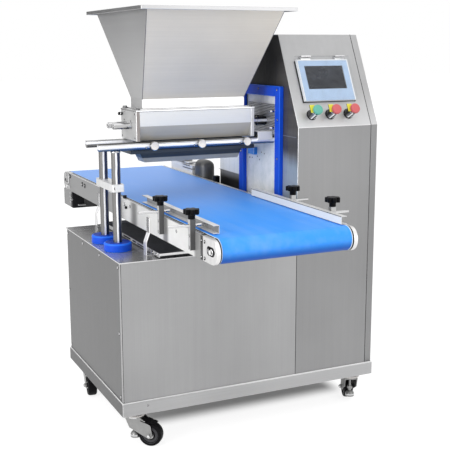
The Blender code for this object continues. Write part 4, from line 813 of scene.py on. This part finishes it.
def make_head():
    # The head's steel is near white, painted light; its lower faces that face down are darker, painted shade; its
    # flange top is bright, painted highlight
    dressed("head_body", head_steel, edge_painted_highlight, 0.0008, [
        (head_lower_painted_shade, lambda spot, way: spot.z < 0.978 and way.z < -0.2),
        (edge_painted_highlight, lambda spot, way: spot.z > head_top + 0.0004),
    ])
    dressed("left_end_plate", plate_aluminium, edge_painted_highlight, 0.0008, [(bronze, faces_front)])
    dressed("right_end_plate", plate_aluminium, edge_painted_highlight, 0.0008)
    for which in ("front", "rear"):
        dressed(which + "_feed_roller", shaft_steel, chrome, 0.0006, [
            (coupling_painted_bands, lambda spot, way: spot.x > head_right + 0.004),
        ])
    dressed("feed_gearmotor", milled_steel, edge_painted_highlight, 0.0006, [
        (motor_grey, lambda spot, way: spot.x > carriage_face + 0.002),
        (chrome, lambda spot, way: spot.x < carriage_face - 0.0106),
    ])
    dressed("nozzle_manifold", manifold_steel, None, 0.0008)

    fittings = Shape()
    for y, z in ((-0.1249, 1.0166), (-0.0874, 0.9926), (-0.025, 0.9938), (-0.0037, 0.9418), (-0.1249, 0.9418)):
        fittings.hole((head_left, y, z), left_out, 0.0024)
    for finish, start, end, radius, edge in (
        (seam_black, 0, 0.014, 0.005, 0.001), (chrome, 0.006, 0.0085, 0.0062, 0.0006),
    ):
        port = [(head_left - reach, -0.008, 1.012) for reach in (start, end)]
        fittings.rod(finish, *port, radius, 18, edge)
    for x in (-0.318, 0.069):
        for y, radius, height in ((-0.005, 0.0072, 0.0062), (-0.128, 0.0058, 0.0046)):
            fittings.bolt(weld_steel, (x, y, flange_top), up, radius, height)
    fittings.done("head_fittings", "lifting_head")

    # A dark strip just under the head's flange: a painted shadow
    painted_shadow_strip = Shape()
    low, high = (head_left + 0.0004, -0.1421, head_top - 0.001), (head_right - 0.0004, 0.0071, head_top - 0.0001)
    painted_shadow_strip.box(seam_black, low, high)
    painted_shadow_strip.done("head_painted_shadow_strip", "lifting_head")


def make_hopper():
    # The hopper's outer sides are darker, painted shade, and painted lighter towards the bottom; the neck is near
    # white in front and behind, painted light, and darker at its sides, painted shade; its foot is bright, painted
    # highlight
    dressed("hopper", hopper_inside_steel, rim_steel, 0.0007, [
        (hopper_side_painted_shade, lambda spot, way: abs(way.x) > abs(way.y) and neck_top < spot.z < rim_top - 0.012),
        (hopper_steel, lambda spot, way: way.y < -0.5 and spot.y < head_mid.y),
        (neck_steel, lambda spot, way: spot.z < neck_top and abs(way.y) > 0.5),
        (neck_side_painted_shade, lambda spot, way: spot.z < neck_top and abs(way.x) > 0.5),
        (edge_painted_highlight, lambda spot, way: spot.z < head_top + 0.0081),
        (rim_steel, lambda spot, way: spot.z > rim_top - 0.0115),
    ])
    seams = Shape()
    for side in ((-1, -1), (-1, 1), (1, -1), (1, 1)):
        foot = Vector((*(head_mid + Vector(side) * hopper_neck), neck_top))
        head = Vector((*(head_mid + Vector(side) * hopper_mouth), rim_top - 0.003))
        seams.rod(weld_steel, foot, head, 0.0011, 8)
        seams.rod(weld_steel, foot, (foot.x, foot.y, flange_top + 0.004), 0.0009, 8)
    seams.done("hopper_welds", "lifting_head")


def make_conveyor():
    # The channels' top faces are in a pale copy of the steel: painted light
    painted_light_top_flange = (pale_steel, lambda spot, way: spot.z > channel_top - 0.0004 and way.z > 0.9)
    rear_block = (rear_block_steel, lambda spot, way: spot.y > 0.678)
    left_posts = (post_steel, lambda spot, way: spot.x < conveyor_left - 0.0005)
    # The posts' faces that face the front are darker: painted shade
    shaded = (square_painted_shade, lambda spot, way: spot.x < conveyor_left - 0.0005 and way.y < -0.9)
    outer = (channel_face_painted_reflections, lambda spot, way: way.x < -0.9 and spot.x < conveyor_left + 0.0002)
    areas = [outer, painted_light_top_flange, rear_block, left_posts, shaded]
    dressed("conveyor_left_plate", channel_steel, edge_painted_highlight, 0.0005, areas)
    dressed("front_left_end_block", end_block_aluminium, edge_painted_highlight, 0.0009)
    front_block = (end_block_aluminium, lambda spot, way: spot.y < -0.638 and spot.x > 0.07)
    right_posts = (post_steel, lambda spot, way: spot.x > conveyor_right + 0.0005 and spot.y < -0.3)
    areas = [painted_light_top_flange, front_block, rear_block, right_posts]
    dressed("conveyor_frame", channel_steel, edge_painted_highlight, 0.0005, areas)
    for which in ("front", "rear"):
        # On the brackets the slanted faces are bright, painted highlight; the upper left faces are darker and the
        # upper front faces darker still, both painted shade
        dressed(which + "_conveyor_bracket", pale_steel, edge_painted_highlight, 0.0005, [
            (ledge_painted_highlight, lambda spot, way: abs(way.x) > 0.3 and abs(way.z) > 0.2),
            (square_steel, lambda spot, way: way.x < -0.9 and spot.z > channel_bottom - 0.002),
            (square_painted_shade, lambda spot, way: way.y < -0.9 and spot.z > channel_bottom - 0.002),
        ])
        coated(which + "_belt_roller", plate_aluminium)
    dressed("conveyor_belt", belt_blue, None, 0, [
        (belt_edge, lambda spot, way: abs(way.x) > 0.9),
        # The belt's downward faces are near black: painted shade
        (seam_black, lambda spot, way: way.z < -0.99),
    ])
    lines = Shape()
    for x, half in (
        (conveyor_left + 0.0133, 0.0022), (conveyor_left + 0.0062, 0.001), (conveyor_right - 0.0144, 0.0014),
    ):
        lines.box(seam_black, (x - half, -0.64, channel_top - 0.001), (x + half, 0.66, channel_top + 0.0003))
    lines.done("channel_grooves", "frame")
    # The drive cover's front faces are near black: painted shade
    dressed("belt_drive_cover", drive_steel, edge_painted_highlight, 0.0006, [(seam_black, facing(front_out, 0.5))])
    low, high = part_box("conveyor_gearmotor")
    motor = Shape()
    motor.box(motor_grey, low, high, 0.026, steps=6)
    motor.done("conveyor_gearmotor_dressed", bodies["conveyor_gearmotor"], ("conveyor_gearmotor",), 40)
    dressed("crumb_tray", tray_black, chrome, 0.0005, [
        (pale_steel, lambda spot, way: way.x < -0.9 and spot.x < conveyor_left + 0.0095),
        (chrome, lambda spot, way: spot.z > 0.612 and way.z > 0.9),
        (pale_steel, lambda spot, way: way.y < -0.9 and spot.y < base_front + 0.004),
    ])
    # Dark strips on the cabinet top under the tray's front and sides: painted shadow
    painted_shadow = Shape()
    for low, high in (
        ((-0.318, -0.3), (0.079, -0.29)), ((-0.318, -0.29), (-0.3, 0.24)), ((0.061, -0.29), (0.079, 0.24)),
    ):
        painted_shadow.box(seam_black, (*low, cabinet_top - 0.0002), (*high, 0.5988), 0.0004)
    painted_shadow.done("tray_painted_shadows", "frame")
    make_conveyor_screws()
    make_tray_fittings()
    make_drive()


def make_conveyor_screws():
    """Screws, holes and plates on the outer face of the left side channel and its end blocks."""
    screws = Shape()
    face = conveyor_left
    for proud, radius, height, spots in (
        (0, 0.0036, 0.0022, [(-0.07, 0.719), (-0.4689, 0.7121)]),
        (0, 0.0034, 0.0022, [(y, z) for y in (0.7, 0.664) for z in (0.7245, 0.6805)]),
        (0.0028, 0.003, 0.0018, [
            (y + side, z) for y in (-0.2425, 0.2705) for z in (0.7085, 0.6975, 0.685) for side in (-0.0062, 0.0062)
        ]),
        (0.015, 0.003, 0.0018, [(y + 0.0002, z) for y in guide_post_places for z in (0.7249, 0.6937)]),
    ):
        for y, z in spots:
            screws.screw(chrome, (face - proud, y, z), left_out, radius, height)
    for y, z, radius in ((0.476, 0.7165, 0.007), (0.444, 0.715, 0.007), (0.643, 0.725, 0.006)):
        screws.rod(seam_black, (face + 0.001, y, z), (face - 0.001, y, z), 1.25 * radius, 20)
        screws.bolt(chrome, (face - 0.001, y - 0.0012, z + 0.0012), left_out, 0.32 * radius, 0.003)
    for finish, proud, low, high, edge in (
        (edge_painted_highlight, 0.0012, (0.662, 0.695), (0.67, 0.73), 0.0006),
        (seam_black, 0.0006, (0.654, 0.695), (0.66, 0.733), 0.0003),
        (edge_painted_highlight, 0.004, (0.654, 0.674), (0.698, 0.688), 0.001),
    ):
        screws.box(finish, (face - proud, *low), (face + 0.001, *high), edge)
    screws.bolt(chrome, (face - 0.004, 0.664, 0.68), left_out, 0.0044, 0.004)
    for y in (-0.6487, -0.6672):
        for z in (0.7207, 0.676):
            screws.rod(seam_black, (face + 0.001, y, z), (face - 0.0008, y, z), 0.005, 18)
            screws.bolt(chrome, (face - 0.0008, y - 0.001, z + 0.0012), left_out, 0.0018, 0.001)
    slot = (-0.7175, -0.6945)
    for y in slot:
        screws.rod(seam_black, (face + 0.001, y, 0.702), (face - 0.0004, y, 0.702), 0.0125, 28)
    screws.box(seam_black, (face - 0.0004, slot[0], 0.6895), (face + 0.001, slot[1], 0.7145))
    screws.bolt(bright_chrome, (face - 0.0004, -0.713, 0.7015), left_out, 0.0068, 0.005)
    screws.rod(
        square_steel, (face - 0.0004, -0.6935, roller_z), (face - 0.003, -0.6935, roller_z), 0.005, 18, edge=0.0006
    )
    # Dark rings at the belt's nose, between the end blocks and the belt: painted shadow; pale rings for the belt's
    # edges
    nose = 0.0345 - conveyor_tip
    for finish, x, half, y, radius in (
        (seam_black, -0.3178, 0.0011, nose, 0.0345), (seam_black, 0.0788, 0.0011, nose, 0.0345),
        (belt_edge, -0.3152, 0.0009, nose + 0.003, 0.0351), (belt_edge, 0.0762, 0.0009, nose + 0.003, 0.0351),
    ):
        screws.rod(finish, (x - half, y, roller_z), (x + half, y, roller_z), radius, 48)
    screws.bolt(chrome, (face, -0.02, 0.719), left_out, 0.0058, 0.005)
    # A dark disc beside this bolt: a painted shadow
    screws.rod(seam_black, (face, -0.038, 0.711), (face - 0.006, -0.038, 0.711), 0.0046, 12)
    stop = Vector((face + 0.005, -0.006, channel_top))
    screws.rod(seam_black, stop, stop + up * 0.01, 0.0062, 16, 0.001)
    screws.done("conveyor_screws", "frame")


def make_tray_fittings():
    tray_side = Shape()
    side = conveyor_left + 0.009
    for start, end, foot, crest in (
        (0.03, -0.04, 0.603, 0.6085), (-0.062, -0.092, 0.6035, 0.608), (-0.11, -0.2, 0.603, 0.606),
    ):
        tray_side.box(seam_black, (side - 0.0003, end, foot), (side + 0.0005, start, crest))
    for y in (-0.222, -0.252, -0.284):
        tray_side.bolt(shaft_steel, (side, y, 0.6062), left_out, 0.0042, 0.003)
    # A dark strip low on the tray's front: a painted shadow
    tray_side.box(seam_black, (-0.3215, base_front + 0.0016, 0.5997), (0.0825, base_front + 0.0025, 0.6048))
    tray_side.done("tray_side_fittings", "crumb_tray")


def make_drive():
    """What holds the geared motor, the cable gland, the belt's tension bolts and the drive cover's hanger."""
    stack = Shape()
    wall = conveyor_right + 0.0006
    stack.box(square_steel, (wall, 0.5, 0.77), (0.126, 0.643, 0.785), 0.001)
    stack.box(rail_steel, (wall, 0.424, 0.7), (0.122, 0.643, 0.769), 0.001)
    for step in range(3):
        foot = 0.752 + 0.0105 * step
        stack.box(pale_steel, (wall, 0.424 + 0.018 * step, foot), (0.134, 0.52, foot + 0.005), 0.0008)
    stack.done("drive_mounting_plates", "frame")
    gland = Shape()
    gland.box(black_plastic, (wall, 0.204, 0.72), (0.112, 0.226, 0.756), 0.002)
    gland.done("drive_cable_gland", "frame")

    tension = Shape()
    for x in (conveyor_left + 0.006, conveyor_right - 0.006):
        tension.rod(shaft_steel, (x, -0.7095, roller_z), (x, -0.742, roller_z), 0.003, 12)
    tension.done("belt_tension_bolts", "frame")

    hanger = Shape()
    cover_low = Vector(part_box("belt_drive_cover")[0])
    side, front = cover_low.x - 0.0014, cover_low.y - 0.0012
    hanger.box(seam_black, (side, front, cover_low.z + 0.0015), (-0.29, 0.64, channel_bottom - 0.001), 0.001)
    for y, z in ((0.633, 0.627), (0.633, 0.647), (0.631, 0.663), (0.623, 0.637)):
        hanger.bolt(chrome, (side, y, z), left_out, 0.0042, 0.004)
    hanger.box(shaft_steel, (-0.312, front - 0.004, 0.612), (-0.28, front, 0.619), 0.0015)
    hanger.box(motor_grey, (-0.285, front - 0.001, 0.606), (0.05, front + 0.001, 0.642), 0.0005)
    hanger.done("drive_hanger", "frame")


def is_guide_rod(spot, way):
    reach = 0.1905 if spot.x < 0 else 0.184
    return 0.748 < spot.z < 0.758 and abs(way.x) < 0.99 and abs(spot.x - conveyor_mid) > reach


def make_guides():
    for side in ("left", "right"):
        # The right rail's inner face is lighter and warmer: painted light
        dressed(side + "_guide_rail", rail_steel, edge_painted_highlight, 0.0004, [
            (square_steel, lambda spot, way: way.x < -0.9 and spot.x < conveyor_mid),
            (rail_face_painted_light, lambda spot, way: way.x < -0.9 and spot.x > conveyor_mid),
            (chrome, is_guide_rod),
        ])
    low, high = (Vector(corner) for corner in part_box("right_guide_rail"))
    top, rear, face = high.z - 0.001, high.y - 0.002, low.x
    # Thin dark lines along the right rail's top edge and rear end: painted shadow
    lines = Shape()
    lines.rod(seam_black, (face, low.y + 0.001, top), (face, high.y - 0.001, top), 0.0008, 8)
    lines.rod(seam_black, (face, rear, low.z + 0.001), (face, rear, top), 0.0006, 8)
    lines.done("right_rail_painted_shadow_lines", bodies["right_guide_rail"])


def star_knob(name, x, y):
    """A seven-lobed hand knob on its hub, with a metal stud."""
    foot = guide_post_top + 0.0003
    lobes, low, high = 7, 0.013, 0.0275
    form = bmesh.new()
    bmesh.ops.create_circle(form, cap_ends=True, segments=lobes * 12, radius=0.0225)
    for corner in form.verts:
        turn = math.atan2(corner.co.y, corner.co.x)
        wave = 0.5 + 0.5 * math.cos(lobes * turn)
        corner.co *= 1 - 0.26 * (1 - wave ** 0.55)
    rim = bmesh.ops.extrude_face_region(form, geom=form.faces[:])
    lifted = [item for item in rim["geom"] if isinstance(item, bmesh.types.BMVert)]
    bmesh.ops.translate(form, vec=(0, 0, high - low), verts=lifted)
    flat = [item for item in form.edges if abs(item.verts[0].co.z - item.verts[1].co.z) < 1e-6]
    eased(form, flat, 0.003, 3)
    shape = Shape()
    shape.take(form, black_plastic, Matrix.Translation((x, y, foot + low)))
    profile = [(0, low + 0.004), (0.0125, low + 0.003), (0.0102, low - 0.003), (0.0098, 0.0002), (0, 0.0002)]
    shape.spun(black_plastic, profile, (x, y, foot), up, 28)
    cap = [(0, 0.0002), (0.0088, 0.0001), (0.0092, -0.0006), (0.0092, -0.003), (0, -0.003)]
    shape.spun(hub_black, cap, (x, y, foot + high), up, 28)
    shape.rod(shaft_steel, (x, y, foot - 0.008), (x, y, foot + 0.004), 0.003, 12)
    shape.done(name + "_dressed", bodies[name], (name,))


def clamp_knob(name, x):
    """A turned hand knob: knurled rim, coned face and a stud through the bar."""
    face_y = bar_places[0] - bar_radius - 0.004
    profile = [
        (0, 0.012), (0.003, 0.012), (0.012, 0.013), (0.0134, 0.0126), (0.014, 0.0115),
        (0.014, 0.0015), (0.013, 0.0), (0.006, 0.0), (0.004, -0.0005), (0.004, -0.0405), (0, -0.0405),
    ]
    shape = Shape()
    shape.spun(shaft_steel, profile, (x, face_y, bar_height), front_out, 48)
    disc = [(0, 0.0126), (0.0118, 0.0136), (0.0124, 0.0128), (0, 0.012)]
    shape.spun(knob_face, disc, (x, face_y, bar_height), front_out, 48)
    shape.done(name + "_dressed", bodies[name], (name,))


def make_knobs():
    for side, x in (("left", conveyor_left - 0.0075), ("right", conveyor_right + 0.0075)):
        for which, y in zip(("front", "rear"), guide_post_places):
            star_knob(f"{which}_{side}_star_knob", x, y)
    for name, x in zip(("left_clamp_knob", "middle_clamp_knob", "right_clamp_knob"), (-0.276, -0.116, 0.044)):
        clamp_knob(name, x)


def make_controls():
    dressed("screen_housing", bezel_blue, bezel_white, 0.0008, [
        (bezel_white, lambda spot, way: way.dot(slope_out) < 0.9),
        (chrome, lambda spot, way: control_place(spot).y > 0.2268),
    ])
    coated("touch_screen", screen_glass)
    dressed("screen_cover", clear_sheet, clear_sheet, 0.0006, [
        (chrome, lambda spot, way: control_place(spot).y > 0.2335),
    ])

    trim = Shape()
    face, rim = 0.012, 0.004
    left, right, foot, top = 0.039, 0.229, 0.085, 0.227
    for low, high in (
        ((left, foot), (left + rim, top)), ((right - rim, foot), (right, top)),
        ((left + rim, top - rim), (right - rim, top)),
    ):
        trim.box(bezel_white, (*low, face - 0.001), (*high, face + 0.0005), place=control_face)
    left, right, foot, top, rim = 0.064, 0.203, 0.126, 0.203, 0.0014
    for low, high in (
        ((left - rim, foot - rim), (left, top + rim)), ((right, foot - rim), (right + rim, top + rim)),
        ((left, foot - rim), (right, foot)), ((left, top), (right, top + rim)),
    ):
        trim.box(hub_black, (*low, face - 0.003), (*high, face + 0.0004), place=control_face)
    for low, high in (
        ((0.0365, 0.0825), (0.0389, 0.2265)), ((0.2291, 0.0825), (0.2315, 0.2265)),
        ((0.0389, 0.0836), (0.2291, 0.0849)),
    ):
        trim.box(seam_black, (*low, -0.0002), (*high, 0.0035), 0.0004, place=control_face)
    trim.done("screen_trim", "frame")

    labels = Shape()
    for x in button_places:
        low, high = (x - 0.0205, button_rise - 0.005, 0.0336), (x - 0.003, button_rise + 0.0205, 0.0348)
        labels.box(label_yellow, low, high, 0.0003, control_face)
        labels.box(seam_black, (low[0] - 0.0012, low[1], low[2]), (low[0], high[1], high[2]), 0.0002, control_face)
        # A dark ring round each collar's foot: a painted shadow
        base = [(0.0157, 0.0002), (0.0174, 0.0002), (0.0172, 0.0022), (0.0157, 0.003), (0.0157, 0.0002)]
        labels.spun(seam_black, base, (x, button_rise, 0), up, 36, control_face)
    labels.done("button_labels", "frame")

    profile = [
        (0, 0.0512), (0.011, 0.051), (0.0138, 0.0504), (0.0154, 0.049), (0.0162, 0.0466), (0.0165, 0.044),
        (0.0163, 0.042), (0.0152, 0.0402), (0.01, 0.04), (0.008, 0.0392), (0.008, -0.014), (0, -0.014),
    ]
    names = ("start_button", "stop_button", "emergency_stop_button")
    for name, finish, x in zip(names, (button_green, button_red, button_red), button_places):
        button = Shape()
        button.spun(finish, profile, (x, button_rise, 0), up, 40, control_face)
        button.done(name + "_dressed", bodies[name], (name,))


# Round forms about a caster's swivel axis: foot pad, its nut, the swivel race and the ring under it
caster_rings = (
    (foot_zinc, 36, [
        (0.004, -0.069), (0.008, -0.07), (0.0128, -0.0745), (0.0149, -0.079), (0.0149, -0.0838), (0.004, -0.0838),
    ]),
    (chrome, 36, [(0.015, -0.0836), (0.0154, -0.082), (0.015, -0.08), (0.014, -0.0818)]),
    (knob_face, 40, [
        (0.024, -0.0168), (0.0296, -0.0166), (0.0312, -0.015), (0.0312, -0.0118), (0.029, -0.0096), (0.024, -0.009),
    ]),
    (chrome, 40, [(0.02, -0.0232), (0.0236, -0.023), (0.025, -0.0214), (0.025, -0.0184), (0.02, -0.0176)]),
)


def make_caster(name, place):
    back = place.inverted()
    dressed(name + "_fork", zinc, edge_painted_highlight, 0.0005, [
        (tyre_black, lambda spot, way: (back @ spot).z < -0.0955),
        (chrome, lambda spot, way: (back @ spot).z > -0.0095),
    ])

    wheel = Shape()
    profile = [
        (0.0048, 0.017), (0.008, 0.017), (0.0085, 0.0145), (0.012, 0.0143), (0.0125, 0.0157),
        (0.015, 0.0157), (0.016, 0.0125), (0.025, 0.012), (0.0262, 0.015), (0.029, 0.0157),
        (0.033, 0.0155), (0.0362, 0.013), (0.0374, 0.0075), (0.0375, 0.0),
    ]
    far_side = [(radius, -height) for radius, height in reversed(profile[:-1])]
    wheel.spun(tyre_black, [*profile, *far_side, profile[0]], axle_place, rear_out, 56, place)
    for out in (front_out, rear_out):
        for inner, outer, height in ((0.0165, 0.0245, 0.0126), (0.0262, 0.0272, 0.0156)):
            web = [(inner, height), (outer, height + 0.0004), (outer, height - 0.001), (inner, height - 0.001)]
            wheel.spun(hub_black, web + web[:1], axle_place, out, 40, place)
        rim = [(0.0085, 0.0158), (0.012, 0.0158), (0.012, 0.0125), (0.0085, 0.0125)]
        wheel.spun(shaft_steel, rim + rim[:1], axle_place, out, 32, place)
    wheel.done(name + "_wheel_dressed", bodies[name + "_wheel"], (name + "_wheel",))

    trim = Shape()
    nut = [(0, 0.0044), (0.0024, 0.004), (0.0044, 0.0026), (0.0052, 0.0), (0.0052, -0.001), (0, -0.001)]
    for out in (front_out, rear_out):
        trim.spun(chrome, nut, axle_place + out * 0.0262, out, 20, place)
    guard = bmesh.new()
    start = math.radians(62)
    strip = [
        guard.verts.new((radius * math.cos(start), half, radius * math.sin(start)))
        for radius, half in ((0.039, -0.0172), (0.039, 0.0172), (0.0402, 0.0172), (0.0402, -0.0172))
    ]
    flat = guard.faces.new(strip)
    bmesh.ops.spin(
        guard, geom=[flat, *flat.edges, *flat.verts], cent=(0, 0, 0), axis=(0, -1, 0),
        angle=math.radians(66), steps=12, use_duplicate=False,
    )
    trim.take(guard, black_plastic, place @ Matrix.Translation(axle_place))
    tilt = place @ Matrix.Translation((0.024, 0, -0.0262)) @ Matrix.Rotation(math.radians(19), 4, "Y")
    trim.box(black_plastic, (0, -0.0222, -0.002), (0.03, 0.0222, 0.0014), 0.0008, tilt)
    for finish, sides, ring in caster_rings:
        trim.spun(finish, ring + ring[:1], (0, 0, 0), up, sides, place)
    trim.done(name + "_caster_trim", bodies[name + "_fork"])


def make_casters():
    for name, x, y, heading in (
        ("front_left", -0.395, -0.2595, -38), ("front_right", 0.395, -0.2595, 68),
        ("rear_left", -0.395, 0.2405, -99), ("rear_right", 0.395, 0.2405, 90),
    ):
        make_caster(name, Matrix.Translation((x, y, caster_drop)) @ Matrix.Rotation(math.radians(heading), 4, "Z"))


class Studio:
    """The plain pale floor, the white backdrop and the soft lamps."""

    def __init__(self):
        self.scene = bpy.context.scene

    def sheet(self, name, size, place):
        form = bmesh.new()
        bmesh.ops.create_grid(form, x_segments=1, y_segments=1, size=0.5)
        bmesh.ops.scale(form, vec=(size[0], size[1], 1), verts=form.verts)
        bmesh.ops.transform(form, matrix=place, verts=form.verts)
        mesh = bpy.data.meshes.new(name)
        form.to_mesh(mesh)
        form.free()
        made = bpy.data.objects.new(name, mesh)
        self.scene.collection.objects.link(made)
        return made

    def make_floor(self):
        """The floor is seen lit up to white, with a painted shadow under the cabinet."""
        floor = self.sheet("studio_floor", (60, 60), Matrix())
        paint = Finish("studio_white", grey(0.86), 1.0, Specular_IOR_Level=0.0)
        # The footprint of the painted shadow under the cabinet
        under = 1.0
        for axis, low, high in (("Y", -0.188, -0.088), ("Y", 0.3, 0.2), ("X", -0.38, -0.27), ("X", 0.46, 0.38)):
            under = under * paint.ramp(paint.axis(axis), low, high)
        level = paint.node("ShaderNodeMapRange", {}, {"Value": under, "To Min": 0.825, "To Max": 0.1})
        shown = paint.node("ShaderNodeBsdfDiffuse", {}, {"Color": (*grey(0.34), 1)})
        glow = paint.node("ShaderNodeEmission", {}, {"Strength": level})
        lit = paint.node("ShaderNodeAddShader", {}, {0: shown, 1: glow})
        plain = Signal(paint, paint.shader.outputs[0])
        mixed = paint.node("ShaderNodeMixShader", {}, {0: paint.background_rays(), 1: plain, 2: lit})
        paint.join(mixed, paint.tree.nodes["Material Output"].inputs["Surface"])
        floor.data.materials.append(paint.material)

    def make_backdrop(self):
        world = bpy.data.worlds.new("studio")
        world.use_nodes = True
        self.scene.world = world
        nodes = Nodes(world.node_tree)
        levels = {"Value": nodes.background_rays(), "To Min": 0.78, "To Max": 1.0}
        backdrop = nodes.tree.nodes["Background"]
        nodes.join(nodes.node("ShaderNodeMapRange", {}, levels), backdrop.inputs["Strength"])
        nodes.join((1, 1, 1, 1), backdrop.inputs["Color"])

    def make_card(self, name, foot, azimuth, size, tone):
        """A grey card that stands out of view and shows only in polished metal."""
        turn = Matrix.Rotation(math.radians(azimuth), 4, "Z") @ Matrix.Rotation(math.radians(90), 4, "X")
        card = self.sheet(name, size, Matrix.Translation(Vector(foot) + up * size[1] / 2) @ turn)
        paint = Finish(name, grey(tone), 1.0, Specular_IOR_Level=0.0)
        card.data.materials.append(paint.material)
        card.visible_camera = False
        card.visible_diffuse = False
        card.visible_shadow = False

    def make_softbox(self, name, place, aim, size, power):
        lamp = bpy.data.lights.new(name, "AREA")
        lamp.shape = "RECTANGLE"
        lamp.size, lamp.size_y = size
        lamp.energy = power
        made = bpy.data.objects.new(name, lamp)
        self.scene.collection.objects.link(made)
        made.location = place
        made.rotation_euler = (Vector(aim) - Vector(place)).to_track_quat("-Z", "Y").to_euler()
        made.visible_camera = False

    def make_camera(self):
        lens = bpy.data.cameras.new("photo_camera")
        lens.lens, lens.sensor_width = 71.96, 36.0
        lens.clip_end = 100
        camera = bpy.data.objects.new("photo_camera", lens)
        self.scene.collection.objects.link(camera)
        yaw, pitch, roll = math.radians(24.83), math.radians(11.21), -0.0029
        turn = Matrix.Rotation(-yaw, 4, "Z") @ Matrix.Rotation(math.radians(90) - pitch, 4, "X")
        camera.matrix_world = Matrix.Translation((-1.2469, -2.7742, 1.2205)) @ turn @ Matrix.Rotation(roll, 4, "Z")
        self.scene.camera = camera

    def light(self):
        self.make_floor()
        self.make_backdrop()
        self.make_card("back_left_card", (-1.7, 3.4, 0.55), 25, (2.4, 2.4), 0.1)
        self.make_card("back_right_card", (3.6, 1.9, 0.0), -62, (1.6, 2.4), 0.1)
        self.make_softbox("overhead_softbox", (-0.4, -1.0, 3.6), (0.0, 0.0, 0.4), (4.5, 4.0), 34)
        self.make_softbox("left_softbox", (-3.2, -1.2, 1.5), (0.0, -0.1, 0.85), (2.2, 1.6), 52)
        self.make_softbox("front_softbox", (0.95, -2.35, 1.15), (-0.1, -0.1, 1.0), (1.3, 1.3), 8.0)
        self.make_camera()
        self.scene.view_settings.view_transform = "Standard"


make_cabinet()
make_column()
make_lift()
make_head()
make_hopper()
make_conveyor()
make_guides()
make_knobs()
make_controls()
make_casters()
coated("lift_actuator", motor_grey)
Studio().light()
